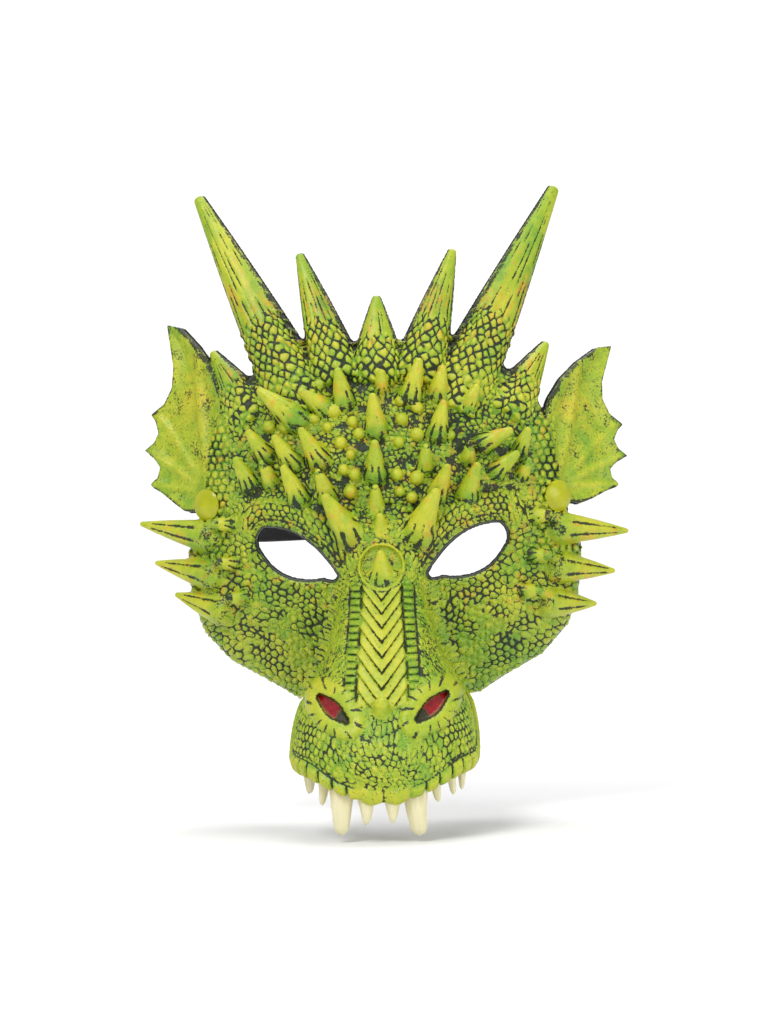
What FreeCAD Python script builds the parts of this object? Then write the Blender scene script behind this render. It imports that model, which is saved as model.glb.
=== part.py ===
"""Dragon half mask of moulded foam: face, muzzle, crown of horns, ear fins, cheek spikes,
glued-in teeth, cloth lining, temple rivets and an elastic head strap.

Millimetres. X runs across the face, the face looks along -Y, Z is up. The origin lies at eye level on
the mask's centre plane, where the lining meets the wearer's brow.
"""
import FreeCAD, Part
import os
import Sketcher

Vector = FreeCAD.Vector
Rotation = FreeCAD.Rotation
Placement = FreeCAD.Placement
ORIGIN = (-1, 1)          # a sketch's own origin, as a (geometry, point) pair
X_AXIS = -1
Y_AXIS = -2
START, END, CENTRE = 1, 2, 3

DIMENSIONS = {
    "back_plane": 160,            # the face forms end here, far behind the mask
    "face_radius": 126.4,
    "face_half_width": 105,
    "muzzle_back": -24,           # as a forward reach, so behind the eye plane
    "foam_thickness": 5,
    "muzzle_thickness": 4.5,
    "glue_gap": 0.15,
    "lining_thickness": 0.8,
    "tool_reach": 150,            # half length of a cutting prism
    "bore_reach": 30,
    "horn_flat": 3,
    "horn_roundness": 0.62,       # a horn's front depth as a share of its half width
    "horn_tip_flat": 1.2,
    "horn_yaw": 0.4,              # degrees of turn for each millimetre from the centre
    "spike_root_radius": 6.8,
    "spike_tip_radius": 1.1,
    "spike_sink": 2,
    "spike_sweep": 0.4,
    "ear_thickness": 4,
    "ear_sink": 0.3,
    "ear_lean": 9,
    "rivet_across": 72.4,
    "rivet_height": 20.2,
    "rivet_cap_radius": 6.5,
    "rivet_cap_height": 2.6,
    "rivet_rim": 0.7,
    "rivet_seat_gap": 0.3,
    "rivet_post_radius": 2,
    "rivet_hole_radius": 2.2,
    "rivet_tail_radius": 5.5,
    "rivet_tail_hole": 2.1,
    "rivet_tail_thickness": 1.4,
    "rivet_end_play": 0.2,
    "strap_width": 25,
    "strap_thickness": 1.6,
    "strap_gap": 0.6,
    "strap_inner_run": 8,
    "strap_outer_run": 7,
    "strap_bend_radius": 6,
    "strap_flex_start": 39,
    "strap_flex_end": 54,
}
# Horizontal sections of the face form: height, how far forward its middle stands.
FACE_SECTIONS = [(-75, -26), (-35, -4), (0, 6), (35, 6), (70, -4), (100, -18)]
# Sections of the muzzle form: height, half width, forward reach, depth of its rounded front.
MUZZLE_SECTIONS = [(-102, 33, 58, 27), (-85, 36, 64, 30), (-65, 35, 57, 29), (-40, 23, 38, 24),
                   (-15, 17, 20, 16), (12, 12, 7.5, 7)]
# Outline of the face from the top middle down one side: across, up.
OUTLINE = [(12, 84), (30, 84), (51, 74), (63, 65), (70, 50), (74, 18), (82, 0), (82, -10), (80, -22),
           (75, -32), (63, -44), (50, -52), (40, -59)]
# What is cut away below the lip, from its front back past the corner of the mouth: forward, up.
LIP_LINE = [(80, -100), (63, -100), (56, -93), (35, -84), (10, -70), (-14, -58), (-60, -57),
            (-60, -130), (80, -130)]
# Corners of an eye hole and a point on the arc that leads to the next corner: across, up, twice.
EYE_ARCS = [(18.2, -9.8, 32, 5.6), (48.5, 10.2, 51.4, 5), (49.3, -0.8, 39, -10), (24, -11.2, 20, -12)]
# Crown horns: base across, up and back, half width, half width at the tip, length, splay, lean.
HORNS = {
    "crown_horn_centre": (0, 74, 10, 11, 1.3, 31, 0, 8),
    "crown_horn_mid": (17, 74, 11.5, 10.5, 1.5, 53, 18, 10),
    "crown_horn_large": (31, 60, 13, 13.5, 1.8, 106, 29, 12),
    "crown_horn_small": (53, 57, 18, 10, 1.4, 36, 38, 14),
}
# Cheek spikes: root across and up, tip across and up, how far forward the face's middle is there.
CHEEK_SPIKES = [(72, 10.5, 101, 9, 6), (71, -5.5, 95, -7.5, 5.4), (67, -20, 87, -21, 2)]
# Ear fin outline in its own plane, from the rivet: along, up.
EAR_OUTLINE = [(-3, -2), (13, -2), (19, 2), (22, 3), (25, 8), (33, 8.5), (28, 14), (38, 22), (30, 27),
               (36, 36), (24, 43), (23, 53), (31, 71), (14, 62), (2, 46), (-3, 28)]
# Teeth: across, forward, root half width, tip half width, root height, tip height.
TEETH = {
    "tooth_front_left": (-6.8, 57, 4.2, 1.1, -90, -105.2),
    "tooth_front_right": (2.9, 57.5, 4.2, 1.1, -90, -104.6),
    "tooth_fang_left": (-16.3, 53, 5.4, 2.5, -87, -109.4),
    "tooth_fang_right": (12.6, 54.5, 5.4, 2.8, -87, -110),
    "tooth_side_left_1": (-23.8, 47.5, 3, 1, -84, -98.3),
    "tooth_side_right_1": (20.2, 50.5, 3, 1, -84, -97.6),
    "tooth_side_left_2": (-28.6, 39, 2.8, 0.9, -79, -94.2),
    "tooth_side_right_2": (26.1, 44, 2.8, 0.9, -80, -95.6),
    "tooth_side_left_3": (-30.6, 30, 2.8, 0.9, -75, -95.6),
    "tooth_side_right_3": (30, 34, 2.8, 0.9, -75, -94.8),
    "tooth_back_left": (-36.5, -27.5, 2.8, 1.2, -46, -62),
    "tooth_back_right": (40.5, -29, 2.8, 1.2, -44, -59.5),
}
TABLES = {"face": FACE_SECTIONS, "muzzle": MUZZLE_SECTIONS, "outline": OUTLINE, "lip": LIP_LINE,
          "eye": EYE_ARCS, "spike": CHEEK_SPIKES, "ear": EAR_OUTLINE}

document = FreeCAD.newDocument("dragon_mask")
sheet = document.addObject("Spreadsheet::Sheet", "dims")
pieces = []


# ---- the sheet -------------------------------------------------------------------------------------

def cell(title, column, row=0):
    """The sheet's name for one entry of a table, such as dims.face_b_2."""
    return "dims.%s_%s_%d" % (title, "abcdefgh"[column], row)


def fill_sheet():
    """Write every driving dimension into the sheet, one aliased cell to a line."""
    cells = {"dims." + name: number for name, number in DIMENSIONS.items()}
    tables = dict(TABLES)
    tables.update({name: [row] for name, row in {**HORNS, **TEETH}.items()})
    for title, rows in tables.items():
        for row, numbers in enumerate(rows):
            for column, number in enumerate(numbers):
                cells[cell(title, column, row)] = number
    for line, (name, number) in enumerate(cells.items(), start=1):
        alias = name.replace("dims.", "")
        sheet.set("A%d" % line, alias)
        sheet.set("B%d" % line, str(number))
        sheet.setAlias("B%d" % line, alias)
    document.recompute()


def value(expression):
    """The number that an expression over the sheet's cells stands for."""
    return float(sheet.evalExpression(expression))


def bind(thing, **fields):
    """Tie properties of an object to expressions over the sheet; Base__x stands for Base.x."""
    for field, expression in fields.items():
        thing.setExpression(field.replace("__", "."), expression)
    return thing


def place(thing, rotation, x="0", y="0", z="0"):
    """Turn an object and put its base at a point given by expressions."""
    thing.Placement = Placement(Vector(value(x), value(y), value(z)), rotation)
    return bind(thing, Placement__Base__x=x, Placement__Base__y=y, Placement__Base__z=z)


# ---- sketches --------------------------------------------------------------------------------------

def sketch(name, rotation=Rotation(), x="0", y="0", z="0"):
    """An empty sketch on a plane of its own."""
    return place(document.addObject("Sketcher::SketchObject", name), rotation, x, y, z)


def constrain(plan, kind, *arguments, size=None):
    """Add one constraint to a sketch; a size is an expression that the sheet drives."""
    numbers = arguments if size is None else arguments + (value(size),)
    index = plan.addConstraint(Sketcher.Constraint(kind, *numbers))
    if size is not None:
        plan.setExpression("Constraints[%d]" % index, size)


def pin_point(plan, geometry, point, across, up):
    """Hold one point of a sketch at two expressions from the sketch's origin."""
    constrain(plan, "DistanceX", *ORIGIN, geometry, point, size=across)
    constrain(plan, "DistanceY", *ORIGIN, geometry, point, size=up)


def outline(plan, corners):
    """Draw a closed outline; a corner is across and up, then a point on the arc to the next, if any.

    An arc is always drawn turning left, as a sketch needs it, whichever way the outline runs.
    """
    edges = []
    for i, corner in enumerate(corners):
        first, *middle, last = vectors(corner) + vectors(corners[(i + 1) % len(corners)])[:1]
        if middle:
            turns_left = (middle[0] - first).cross(last - first).z > 0
            ends = (first, last) if turns_left else (last, first)
            edge = plan.addGeometry(Part.Arc(ends[0], middle[0], ends[1]))
            edges.append((edge, START, END) if turns_left else (edge, END, START))
            guide = plan.addGeometry(Part.Point(middle[0]), True)
            pin_point(plan, guide, START, *corner[2:])
            constrain(plan, "PointOnObject", guide, START, edge)
        else:
            edges.append((plan.addGeometry(Part.LineSegment(first, last)), START, END))
    for i, (edge, first, last) in enumerate(edges):
        following, entry, _ = edges[(i + 1) % len(edges)]
        constrain(plan, "Coincident", edge, last, following, entry)
        pin_point(plan, edge, first, *corners[i][:2])
    return plan


def vectors(corner):
    """The points that a corner's expressions stand for: itself, and its arc's guide if it has one."""
    numbers = [value(expression) for expression in corner]
    return [Vector(numbers[i], numbers[i + 1], 0) for i in range(0, len(numbers), 2)]


def table_outline(title, sign=""):
    """An outline's corners as cells of a table, on the mask's right, or with a minus on its left."""
    rows = TABLES[title]
    return [tuple((sign if column % 2 == 0 else "") + cell(title, column, row)
                  for column in range(len(rows[row]))) for row in range(len(rows))]


def d_section(name, level, front, half_width, radius, back):
    """A horizontal D: a round front on a square back. Forward in the mask is +Y in the sketch."""
    plan = sketch(name, Rotation(Vector(0, 0, 1), 180), y=back, z=level)
    width, bow = value(half_width), value(radius)
    middle = value(front) - bow
    shoulder = middle + (bow * bow - width * width) ** 0.5
    arc = plan.addGeometry(Part.Arc(Vector(width, shoulder, 0), Vector(0, middle + bow, 0),
                                    Vector(-width, shoulder, 0)))
    right = plan.addGeometry(Part.LineSegment(Vector(width, shoulder, 0), Vector(width, 0, 0)))
    rear = plan.addGeometry(Part.LineSegment(Vector(width, 0, 0), Vector(-width, 0, 0)))
    left = plan.addGeometry(Part.LineSegment(Vector(-width, 0, 0), Vector(-width, shoulder, 0)))
    constrain(plan, "Coincident", arc, START, right, START)
    constrain(plan, "Coincident", right, END, rear, START)
    constrain(plan, "Coincident", rear, END, left, START)
    constrain(plan, "Coincident", left, END, arc, END)
    constrain(plan, "Vertical", right)
    constrain(plan, "Vertical", left)
    constrain(plan, "PointOnObject", arc, CENTRE, Y_AXIS)
    constrain(plan, "Symmetric", rear, START, rear, END, Y_AXIS)
    constrain(plan, "PointOnObject", rear, START, X_AXIS)
    constrain(plan, "DistanceX", *ORIGIN, right, END, size=half_width)
    constrain(plan, "Radius", arc, size=radius)
    constrain(plan, "DistanceY", *ORIGIN, arc, CENTRE, size="%s - (%s)" % (front, radius))
    return plan


def loft(name, sections):
    """A solid through closed sections."""
    solid = document.addObject("Part::Loft", name)
    solid.Sections = sections
    solid.Solid = True
    solid.Ruled = len(sections) == 2
    return solid


def extrusion(name, plan, forward, backward="0"):
    """Push a sketch out along its own normal, both ways."""
    solid = document.addObject("Part::Extrusion", name)
    solid.Base = plan
    solid.DirMode = "Normal"
    solid.Solid = True
    return bind(solid, LengthFwd=forward, LengthRev=backward)


# ---- booleans --------------------------------------------------------------------------------------

def boolean(kind, name, base, tool):
    """A two-shape boolean that leaves no seams behind."""
    result = document.addObject("Part::" + kind, name)
    result.Base = base
    result.Tool = tool
    result.Refine = True
    return result


def without(name, base, *tools):
    """The base with each tool cut away in turn."""
    for number, tool in enumerate(tools, start=1):
        last = number == len(tools)
        base = boolean("Cut", name if last else "%s_cut_%d" % (name, number), base, tool)
    return base


def mirrored(name, source):
    """The same shape on the mask's other side."""
    copy = document.addObject("Part::Mirroring", name)
    copy.Source = source
    copy.Normal = Vector(1, 0, 0)
    return copy


def piece(label, thing):
    """Enter a finished sub-part under its own label."""
    document.recompute()
    thing.Label = label
    pieces.append(thing)
    return thing


def piece_pair(label, thing):
    """A sub-part on the right side and its mirror image on the left."""
    piece(label + "_right", thing)
    piece(label + "_left", mirrored(label + "_other", thing))


# ---- forms that the shells are cut from ------------------------------------------------------------

def face_form(name, inset):
    """The bowed face form, from its sections, shrunk by an inset."""
    sections = []
    for row in range(len(FACE_SECTIONS)):
        front = "dims.back_plane + %s - (%s)" % (cell("face", 1, row), inset)
        sections.append(d_section("%s_section_%d" % (name, row), cell("face", 0, row), front,
                                  "dims.face_half_width - (%s)" % inset,
                                  "dims.face_radius - (%s)" % inset, "dims.back_plane"))
    return loft(name, sections)


def muzzle_form(name, inset):
    """The snout form, which bulges forward as it goes down, shrunk by an inset."""
    sections = []
    for row in range(len(MUZZLE_SECTIONS)):
        level, width, reach, depth = [cell("muzzle", column, row) for column in range(4)]
        radius = "(%s^2 + %s^2) / (2 * %s) - (%s)" % (width, depth, depth, inset)
        sections.append(d_section("%s_section_%d" % (name, row), level,
                                  "%s - dims.muzzle_back - (%s)" % (reach, inset),
                                  "%s - (%s)" % (width, inset), radius, "-dims.muzzle_back"))
    return loft(name, sections)


def facing():
    """A rotation that lays a sketch upright, so that its normal looks out of the face."""
    return Rotation(Vector(1, 0, 0), 90)


def bar(name, corners, rotation):
    """An outline pushed far out both ways, to cut with."""
    plan = outline(sketch(name + "_plan", rotation), corners)
    return extrusion(name, plan, "dims.tool_reach", "dims.tool_reach")


def face_bar():
    """The face's outline as a long bar along Y."""
    return bar("face_bar", table_outline("outline") + table_outline("outline", "-")[::-1], facing())


def eye_bar(name, sign):
    """One eye hole's almond as a bar along Y."""
    return bar(name, table_outline("eye", sign), facing())


def lip_bar():
    """Everything below the lip, as a bar across the mask."""
    return bar("lip_bar", table_outline("lip"), Rotation(Vector(0, 0, 1), -90) * facing())


# ---- rivets, and the frame that they and the ears share --------------------------------------------

TEMPLE_ANGLE = "asin(dims.rivet_across / dims.face_radius)"
TEMPLE_BACK = ("dims.face_radius - dims.face_b_2 - sqrt(dims.face_radius^2 - dims.rivet_across^2)")
STACK = "dims.foam_thickness + dims.glue_gap + dims.lining_thickness"


def temple_rotation(side=1, lean=0):
    """Turns a sketch upright at the temple: its normal points out of the mask there."""
    return Rotation(Vector(0, 0, 1), side * value(TEMPLE_ANGLE)) * Rotation(Vector(1, 0, 0), 90 - lean)


def at_temple(thing, side, depth="0", lean=0):
    """Put an object at a temple, a depth below the foam's outer face."""
    sign = "" if side > 0 else "-"
    return place(thing, temple_rotation(side, lean),
                 "%s(dims.rivet_across - sin(%s) * (%s))" % (sign, TEMPLE_ANGLE, depth),
                 "%s + cos(%s) * (%s)" % (TEMPLE_BACK, TEMPLE_ANGLE, depth), "dims.rivet_height")


def temple_bore(name, side):
    """The hole for a rivet's post, through foam and lining."""
    bore = bind(document.addObject("Part::Cylinder", name), Radius="dims.rivet_hole_radius",
                Height="2 * dims.bore_reach")
    return at_temple(bore, side, "dims.bore_reach")


def temple_seat(name, side):
    """The flat round seat that a rivet's cap presses into the bowed foam."""
    seat = bind(document.addObject("Part::Cylinder", name),
                Radius="dims.rivet_cap_radius + dims.rivet_seat_gap", Height="dims.rivet_cap_height")
    return at_temple(seat, side)


def revolved(name, corners):
    """A PartDesign revolution of a closed profile about the body's upright axis."""
    body = document.addObject("PartDesign::Body", name)
    plan = body.newObject("Sketcher::SketchObject", name + "_profile")
    upright = [plane for plane in body.Origin.OriginFeatures if plane.Role == "XZ_Plane"][0]
    plan.AttachmentSupport = [(upright, "")]
    plan.MapMode = "FlatFace"
    outline(plan, corners)
    turn = body.newObject("PartDesign::Revolution", name + "_turn")
    turn.Profile = plan
    turn.ReferenceAxis = (plan, ["V_Axis"])
    turn.Angle = 360
    return body


def rivet_cap(name):
    """A domed cap on its post; the cap's flat underside lies at the body's own origin."""
    shank_end = ("-(%s + dims.strap_gap + dims.strap_thickness + dims.rivet_tail_thickness"
                 " + 2 * dims.rivet_end_play)" % STACK)
    rise = "(dims.rivet_cap_height - dims.rivet_rim)"
    bow = "((dims.rivet_cap_radius^2 + %s^2) / (2 * %s))" % (rise, rise)
    halfway = "dims.rivet_cap_height - %s + sqrt(%s^2 - (dims.rivet_cap_radius / 2)^2)" % (bow, bow)
    return revolved(name, [
        ("0", shank_end), ("dims.rivet_post_radius", shank_end), ("dims.rivet_post_radius", "0"),
        ("dims.rivet_cap_radius", "0"),
        ("dims.rivet_cap_radius", "dims.rivet_rim", "dims.rivet_cap_radius / 2", halfway),
        ("0", "dims.rivet_cap_height")])


def rivet_tail(name):
    """The flat ring that the post is set in, behind the strap."""
    outer, bore = "dims.rivet_tail_radius", "dims.rivet_tail_hole"
    thick = "-dims.rivet_tail_thickness"
    return revolved(name, [(bore, thick), (outer, thick), (outer, "0"), (bore, "0")])


# ---- strap -----------------------------------------------------------------------------------------

STRAP_DEPTH = STACK + " + dims.strap_gap"
STRAP_BASE = "dims.rivet_height - dims.strap_width / 2"
STRAP_TURN = "(90 deg - %s)" % TEMPLE_ANGLE


def bend_point(radius, turn, onward="0"):
    """A point of the strap's bend, as a temple sketch sees it, then straight onward from there."""
    along = "dims.strap_outer_run + (%s) * sin(%s) + (%s) * cos(%s)" % (radius, turn, onward, turn)
    depth = ("%s + dims.strap_thickness / 2 + dims.strap_bend_radius - (%s) * cos(%s) + (%s) * sin(%s)"
             % (STRAP_DEPTH, radius, turn, onward, turn))
    return along, depth


def strap_half_span():
    """How far from the centre the strap runs back beside the head."""
    along, depth = bend_point("dims.strap_bend_radius", STRAP_TURN)
    return "(dims.rivet_across + cos(%s) * (%s) - sin(%s) * (%s))" % (
        TEMPLE_ANGLE, along, TEMPLE_ANGLE, depth)


def strap_end(name):
    """The riveted tab behind the right temple, with the bend that turns the strap to the rear."""
    along, depth = bend_point("dims.strap_bend_radius", STRAP_TURN)
    onward = "dims.strap_flex_start - (%s) - sin(%s) * (%s) - cos(%s) * (%s)" % (
        TEMPLE_BACK, TEMPLE_ANGLE, along, TEMPLE_ANGLE, depth)
    outer = "dims.strap_bend_radius + dims.strap_thickness / 2"
    inner = "dims.strap_bend_radius - dims.strap_thickness / 2"
    half_turn = "(%s / 2)" % STRAP_TURN
    near, far = STRAP_DEPTH, STRAP_DEPTH + " + dims.strap_thickness"
    plan = sketch(name + "_plan", Rotation(Vector(0, 0, 1), value(TEMPLE_ANGLE)), "dims.rivet_across",
                  TEMPLE_BACK, STRAP_BASE)
    outline(plan, [
        ("-dims.strap_inner_run", near),
        ("dims.strap_outer_run", near) + bend_point(outer, half_turn),
        bend_point(outer, STRAP_TURN),
        bend_point(outer, STRAP_TURN, onward),
        bend_point(inner, STRAP_TURN, onward),
        bend_point(inner, STRAP_TURN) + bend_point(inner, half_turn),
        ("dims.strap_outer_run", far),
        ("-dims.strap_inner_run", far)])
    return without(name, extrusion(name + "_blank", plan, "dims.strap_width"),
                   temple_bore(name + "_bore", 1))


def strap_flex(name):
    """The short straight run beside the head that bends when the strap is lifted."""
    block = document.addObject("Part::Box", name)
    bind(block, Length="dims.strap_thickness", Width="dims.strap_flex_end - dims.strap_flex_start",
         Height="dims.strap_width")
    return place(block, Rotation(), strap_half_span() + " - dims.strap_thickness / 2",
                 "dims.strap_flex_start", STRAP_BASE)


def strap_band(name):
    """The half ring that goes round the back of the head."""
    halves = []
    for part, sign in (("outer", "+"), ("inner", "-")):
        drum = document.addObject("Part::Cylinder", "%s_%s" % (name, part))
        bind(drum, Radius="%s %s dims.strap_thickness / 2" % (strap_half_span(), sign),
             Height="dims.strap_width")
        drum.Angle = 180
        halves.append(place(drum, Rotation(), "0", "dims.strap_flex_end", STRAP_BASE))
    return without(name, *halves)


# ---- horns, ears, spikes, teeth --------------------------------------------------------------------

def horn(name, label, *tools):
    """A flat-backed tapering horn, cut where it meets the face and its neighbours."""
    across, up, back, half, tip_half, length, splay, lean = [cell(label, c) for c in range(8)]
    ends = []
    for end, level, width, flat in (("root", "0", half, "dims.horn_flat"),
                                    ("tip", length, tip_half, "dims.horn_tip_flat")):
        rise = "(dims.horn_roundness * %s)" % width
        radius = "(%s^2 + %s^2) / (2 * %s)" % (width, rise, rise)
        ends.append(d_section("%s_%s" % (name, end), level, "%s + %s" % (flat, rise), width, radius,
                              "0"))
    blank = loft(name + "_blank", ends)
    turn = (Rotation(Vector(0, 0, 1), value("dims.horn_yaw * " + across))
            * Rotation(Vector(0, 1, 0), value(splay)) * Rotation(Vector(1, 0, 0), -value(lean)))
    place(blank, turn, across, back, up)
    return without(name, blank, *tools)


def cheek_spikes(name, *tools):
    """Three cones that stand out from the cheek."""
    cones = []
    for row in range(len(CHEEK_SPIKES)):
        across, up, tip_across, tip_up, reach = [cell("spike", column, row) for column in range(5)]
        run = "(%s - %s)" % (tip_across, across)
        root_back = ("dims.face_radius - %s - sqrt(dims.face_radius^2 - %s^2) + dims.spike_sink"
                     % (reach, across))
        cone = document.addObject("Part::Cone", "%s_%d" % (name, row))
        bind(cone, Radius1="dims.spike_root_radius", Radius2="dims.spike_tip_radius",
             Height="sqrt(%s^2 + (dims.spike_sweep * %s)^2 + (%s - %s)^2)" % (run, run, tip_up, up))
        heading = Vector(value(run), value("dims.spike_sweep * " + run), value(tip_up + " - " + up))
        cones.append(place(cone, Rotation(Vector(0, 0, 1), heading), across, root_back, up))
    group = document.addObject("Part::Compound", name + "_group")
    group.Links = cones
    return without(name, group, *tools)


def ear_fin(name, *tools):
    """A scalloped fin beside the temple, turned outward and leaning back."""
    plan = at_temple(sketch(name + "_plan"), 1, "dims.ear_sink", value("dims.ear_lean"))
    outline(plan, table_outline("ear"))
    return without(name, extrusion(name + "_blank", plan, "0", "dims.ear_thickness"), *tools)


def tooth(label, *tools):
    """A tooth: a cone that hangs point down, its root cut to lie against what it is glued to."""
    across, forward, root, tip, top, bottom = [cell(label, column) for column in range(6)]
    cone = document.addObject("Part::Cone", label + "_cone")
    bind(cone, Radius1=tip, Radius2=root, Height="%s - %s" % (top, bottom))
    place(cone, Rotation(), across, "-" + forward, bottom)
    return without(label, cone, *tools)


# ---- the mask --------------------------------------------------------------------------------------

def build():
    """Make every sub-part."""
    fill_sheet()
    glue_face = "dims.foam_thickness + dims.glue_gap"
    outer, inner = face_form("face_outer", "0"), face_form("face_inner", "dims.foam_thickness")
    cloth_face, cloth_back = face_form("cloth_face", glue_face), face_form("cloth_back", STACK)
    snout, snout_hollow = muzzle_form("snout", "0"), muzzle_form("snout_hollow",
                                                                 "dims.muzzle_thickness")
    trim, eyes = face_bar(), [eye_bar("eye_bar_right", ""), eye_bar("eye_bar_left", "-")]
    bores = [temple_bore("bore_right", 1), temple_bore("bore_left", -1)]
    seats = [temple_seat("seat_right", 1), temple_seat("seat_left", -1)]
    block = boolean("Common", "face_block", outer, trim)
    cloth_block = boolean("Common", "cloth_block", cloth_face, trim)

    face = piece("face_plate", without("face_shell", block, inner, snout_hollow, *eyes, *bores, *seats))
    lining = piece("fabric_lining", without("lining", cloth_block, cloth_back, snout_hollow, *eyes, *bores))
    shell = piece("muzzle_shell", without("snout_shell", snout, snout_hollow, block, lip_bar()))

    spikes = cheek_spikes("spikes", block, seats[0])
    ear = ear_fin("ear", block, spikes)
    centre = horn("horn_centre", "crown_horn_centre", block)
    middle = horn("horn_mid", "crown_horn_mid", block, centre)
    large = horn("horn_large", "crown_horn_large", block, middle)
    small = horn("horn_small", "crown_horn_small", block, large, ear)
    piece("crown_horn_centre", centre)
    for label, thing in (("crown_horn_mid", middle), ("crown_horn_large", large),
                         ("crown_horn_small", small), ("ear_fin", ear), ("cheek_spikes", spikes),
                         ("strap_end", strap_end("end_right")), ("strap_flex", strap_flex("flex_right"))):
        piece_pair(label, thing)
    piece("strap_band", strap_band("band"))
    for side, sign in (("right", 1), ("left", -1)):
        depth = STRAP_DEPTH + " + dims.strap_thickness + dims.rivet_end_play"
        piece("rivet_cap_" + side, at_temple(rivet_cap("cap_" + side), sign))
        piece("rivet_tail_" + side, at_temple(rivet_tail("tail_" + side), sign, depth))
    for label in TEETH:
        piece(label, tooth(label, shell, face, lining))


def check():
    """Stop if an object failed to build, or a sub-part's shape is missing, invalid or empty."""
    document.recompute()
    failed = [thing.Name for thing in document.Objects
              if "Invalid" in thing.State or "Error" in thing.State]
    bad = [thing.Label for thing in pieces
           if thing.Shape.isNull() or not thing.Shape.isValid() or not thing.Shape.Solids]
    if failed or bad:
        raise RuntimeError("failed objects: %s; bad shapes: %s" % (failed, bad))


def export():
    """Write one STEP file for each sub-part, named after its label."""
    os.makedirs("parts", exist_ok=True)
    for thing in pieces:
        thing.Shape.exportStep("parts/%s.step" % thing.Label)


build()
check()
export()
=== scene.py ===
"""Looks of the moulded-foam dragon half mask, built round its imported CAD.

The foam skin is sculpted as a distance field on a fine grid: face, muzzle, horns, ears and spikes are
joined there, then scales, grooves and chevrons are pressed into the front. The field is meshed, and what
the sculpting knows about each place, such as how deep a groove is, goes to the shader as attributes.
Sculpting is in millimetres, in the CAD's frame: X across, -Y out of the face, Z up.
"""

import math

import bpy
import numpy as np
import openvdb
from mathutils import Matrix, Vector


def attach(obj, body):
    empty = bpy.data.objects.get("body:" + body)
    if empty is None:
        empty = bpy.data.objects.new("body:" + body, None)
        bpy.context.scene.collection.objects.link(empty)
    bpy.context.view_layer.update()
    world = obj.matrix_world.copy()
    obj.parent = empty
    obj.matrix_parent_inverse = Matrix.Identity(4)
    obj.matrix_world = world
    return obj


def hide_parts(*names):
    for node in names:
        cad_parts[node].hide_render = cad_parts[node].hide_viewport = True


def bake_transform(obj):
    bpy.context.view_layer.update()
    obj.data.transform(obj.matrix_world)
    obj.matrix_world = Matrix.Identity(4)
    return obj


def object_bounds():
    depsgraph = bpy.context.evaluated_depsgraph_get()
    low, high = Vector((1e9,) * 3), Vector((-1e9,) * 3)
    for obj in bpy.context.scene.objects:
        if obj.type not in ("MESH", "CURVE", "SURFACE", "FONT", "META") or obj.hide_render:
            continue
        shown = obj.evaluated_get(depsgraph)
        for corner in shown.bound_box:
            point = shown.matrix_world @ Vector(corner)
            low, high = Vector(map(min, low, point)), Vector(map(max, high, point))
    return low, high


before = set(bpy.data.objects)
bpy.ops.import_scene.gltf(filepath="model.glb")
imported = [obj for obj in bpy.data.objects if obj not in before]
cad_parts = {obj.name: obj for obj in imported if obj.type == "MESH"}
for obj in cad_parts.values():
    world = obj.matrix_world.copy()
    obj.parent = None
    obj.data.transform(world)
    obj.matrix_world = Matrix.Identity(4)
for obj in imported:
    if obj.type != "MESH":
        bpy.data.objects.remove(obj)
CAD_LOW, CAD_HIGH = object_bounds()
MM = 0.001

# ---- sizes of the form ----
# They start from the CAD's own. The outline, the lip, the muzzle's top, the ears' edges and the tips of the
# large horns and cheek spikes follow the photo more closely than the CAD does.
FACE_RADIUS = 126.4
FOAM = 5.0
GLUE_GAP, LINING = 0.15, 0.8
MUZZLE_WALL = 4.5
MUZZLE_BLEND, LIP_BLEND = 9.0, 3.0
FACE_HEIGHTS = [-75, -35, 0, 35, 70, 100]
FACE_FORWARD = [-26, -4, 6, 6, -4, -18]
MUZZLE_HEIGHTS = [-102, -85, -65, -40, -15, 12]
MUZZLE_HALF_WIDTHS = [33, 36, 35, 23, 17, 12]
MUZZLE_REACH = [58, 64, 57, 38, 20, 12]
MUZZLE_DEPTHS = [27, 30, 29, 24, 16, 7.5]
OUTLINE = [(12, 84), (30, 84), (51, 74), (63, 65), (70, 50), (74, 18), (82, 0), (82, -10), (80, -22),
           (76, -33), (65, -45), (51, -52.5), (41, -58.5), (36, -65)]
LIP_FORWARD = [-60, -14, 10, 35, 56, 63, 80]
LIP_HEIGHTS = [-60, -62.5, -71, -84, -93, -100, -100]
EYE_CORNERS = [(18.2, -9.8), (48.5, 10.2), (49.3, -0.8), (24, -11.2)]
EYE_GUIDES = [(32, 5.6), (51.4, 5), (39, -10), (20, -12)]
HORNS = [  # base across, up, back, half width, half width at the tip, length, splay, lean
    (0, 74, 10, 11, 1.3, 31, 0, 8), (17, 74, 11.5, 10.5, 1.5, 53, 18, 10),
    (31, 60, 13, 13.5, 2.3, 106, 29, 12), (53, 57, 18, 10, 1.4, 36, 38, 14)]
HORN_YAW = 0.4
CHEEK_SPIKES = [(72, 10.5, 101, 9), (71, -5.5, 95, -7.5), (67, -20, 87, -21)]
SPIKE_SKEW, SPIKE_RISE = 4.0, 3.5   # left tips stand higher and right ones lower; all the roots start lower
SPIKE_ROOT, SPIKE_TIP, SPIKE_SINK, SPIKE_SWEEP = 6.8, 1.1, 2.0, 0.4
EAR_OUTLINE = [(-3, -2), (13, -2), (19, 1), (26, 5), (33, 8.5), (29.5, 11), (28.5, 15), (32, 19), (38, 22),
               (33, 25), (31, 28.5), (33, 33), (36, 36), (29, 40), (25.5, 46), (25.5, 54), (31, 71),
               (24, 69.5), (14, 62), (5, 53), (-1, 44), (-5, 34), (-4, 20)]
EAR_LEAN, EAR_SINK, EAR_THICK = 9.0, 0.3, 4.0
EAR_OPEN = 0.12                 # how far the right ear hangs open, in radians
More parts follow.
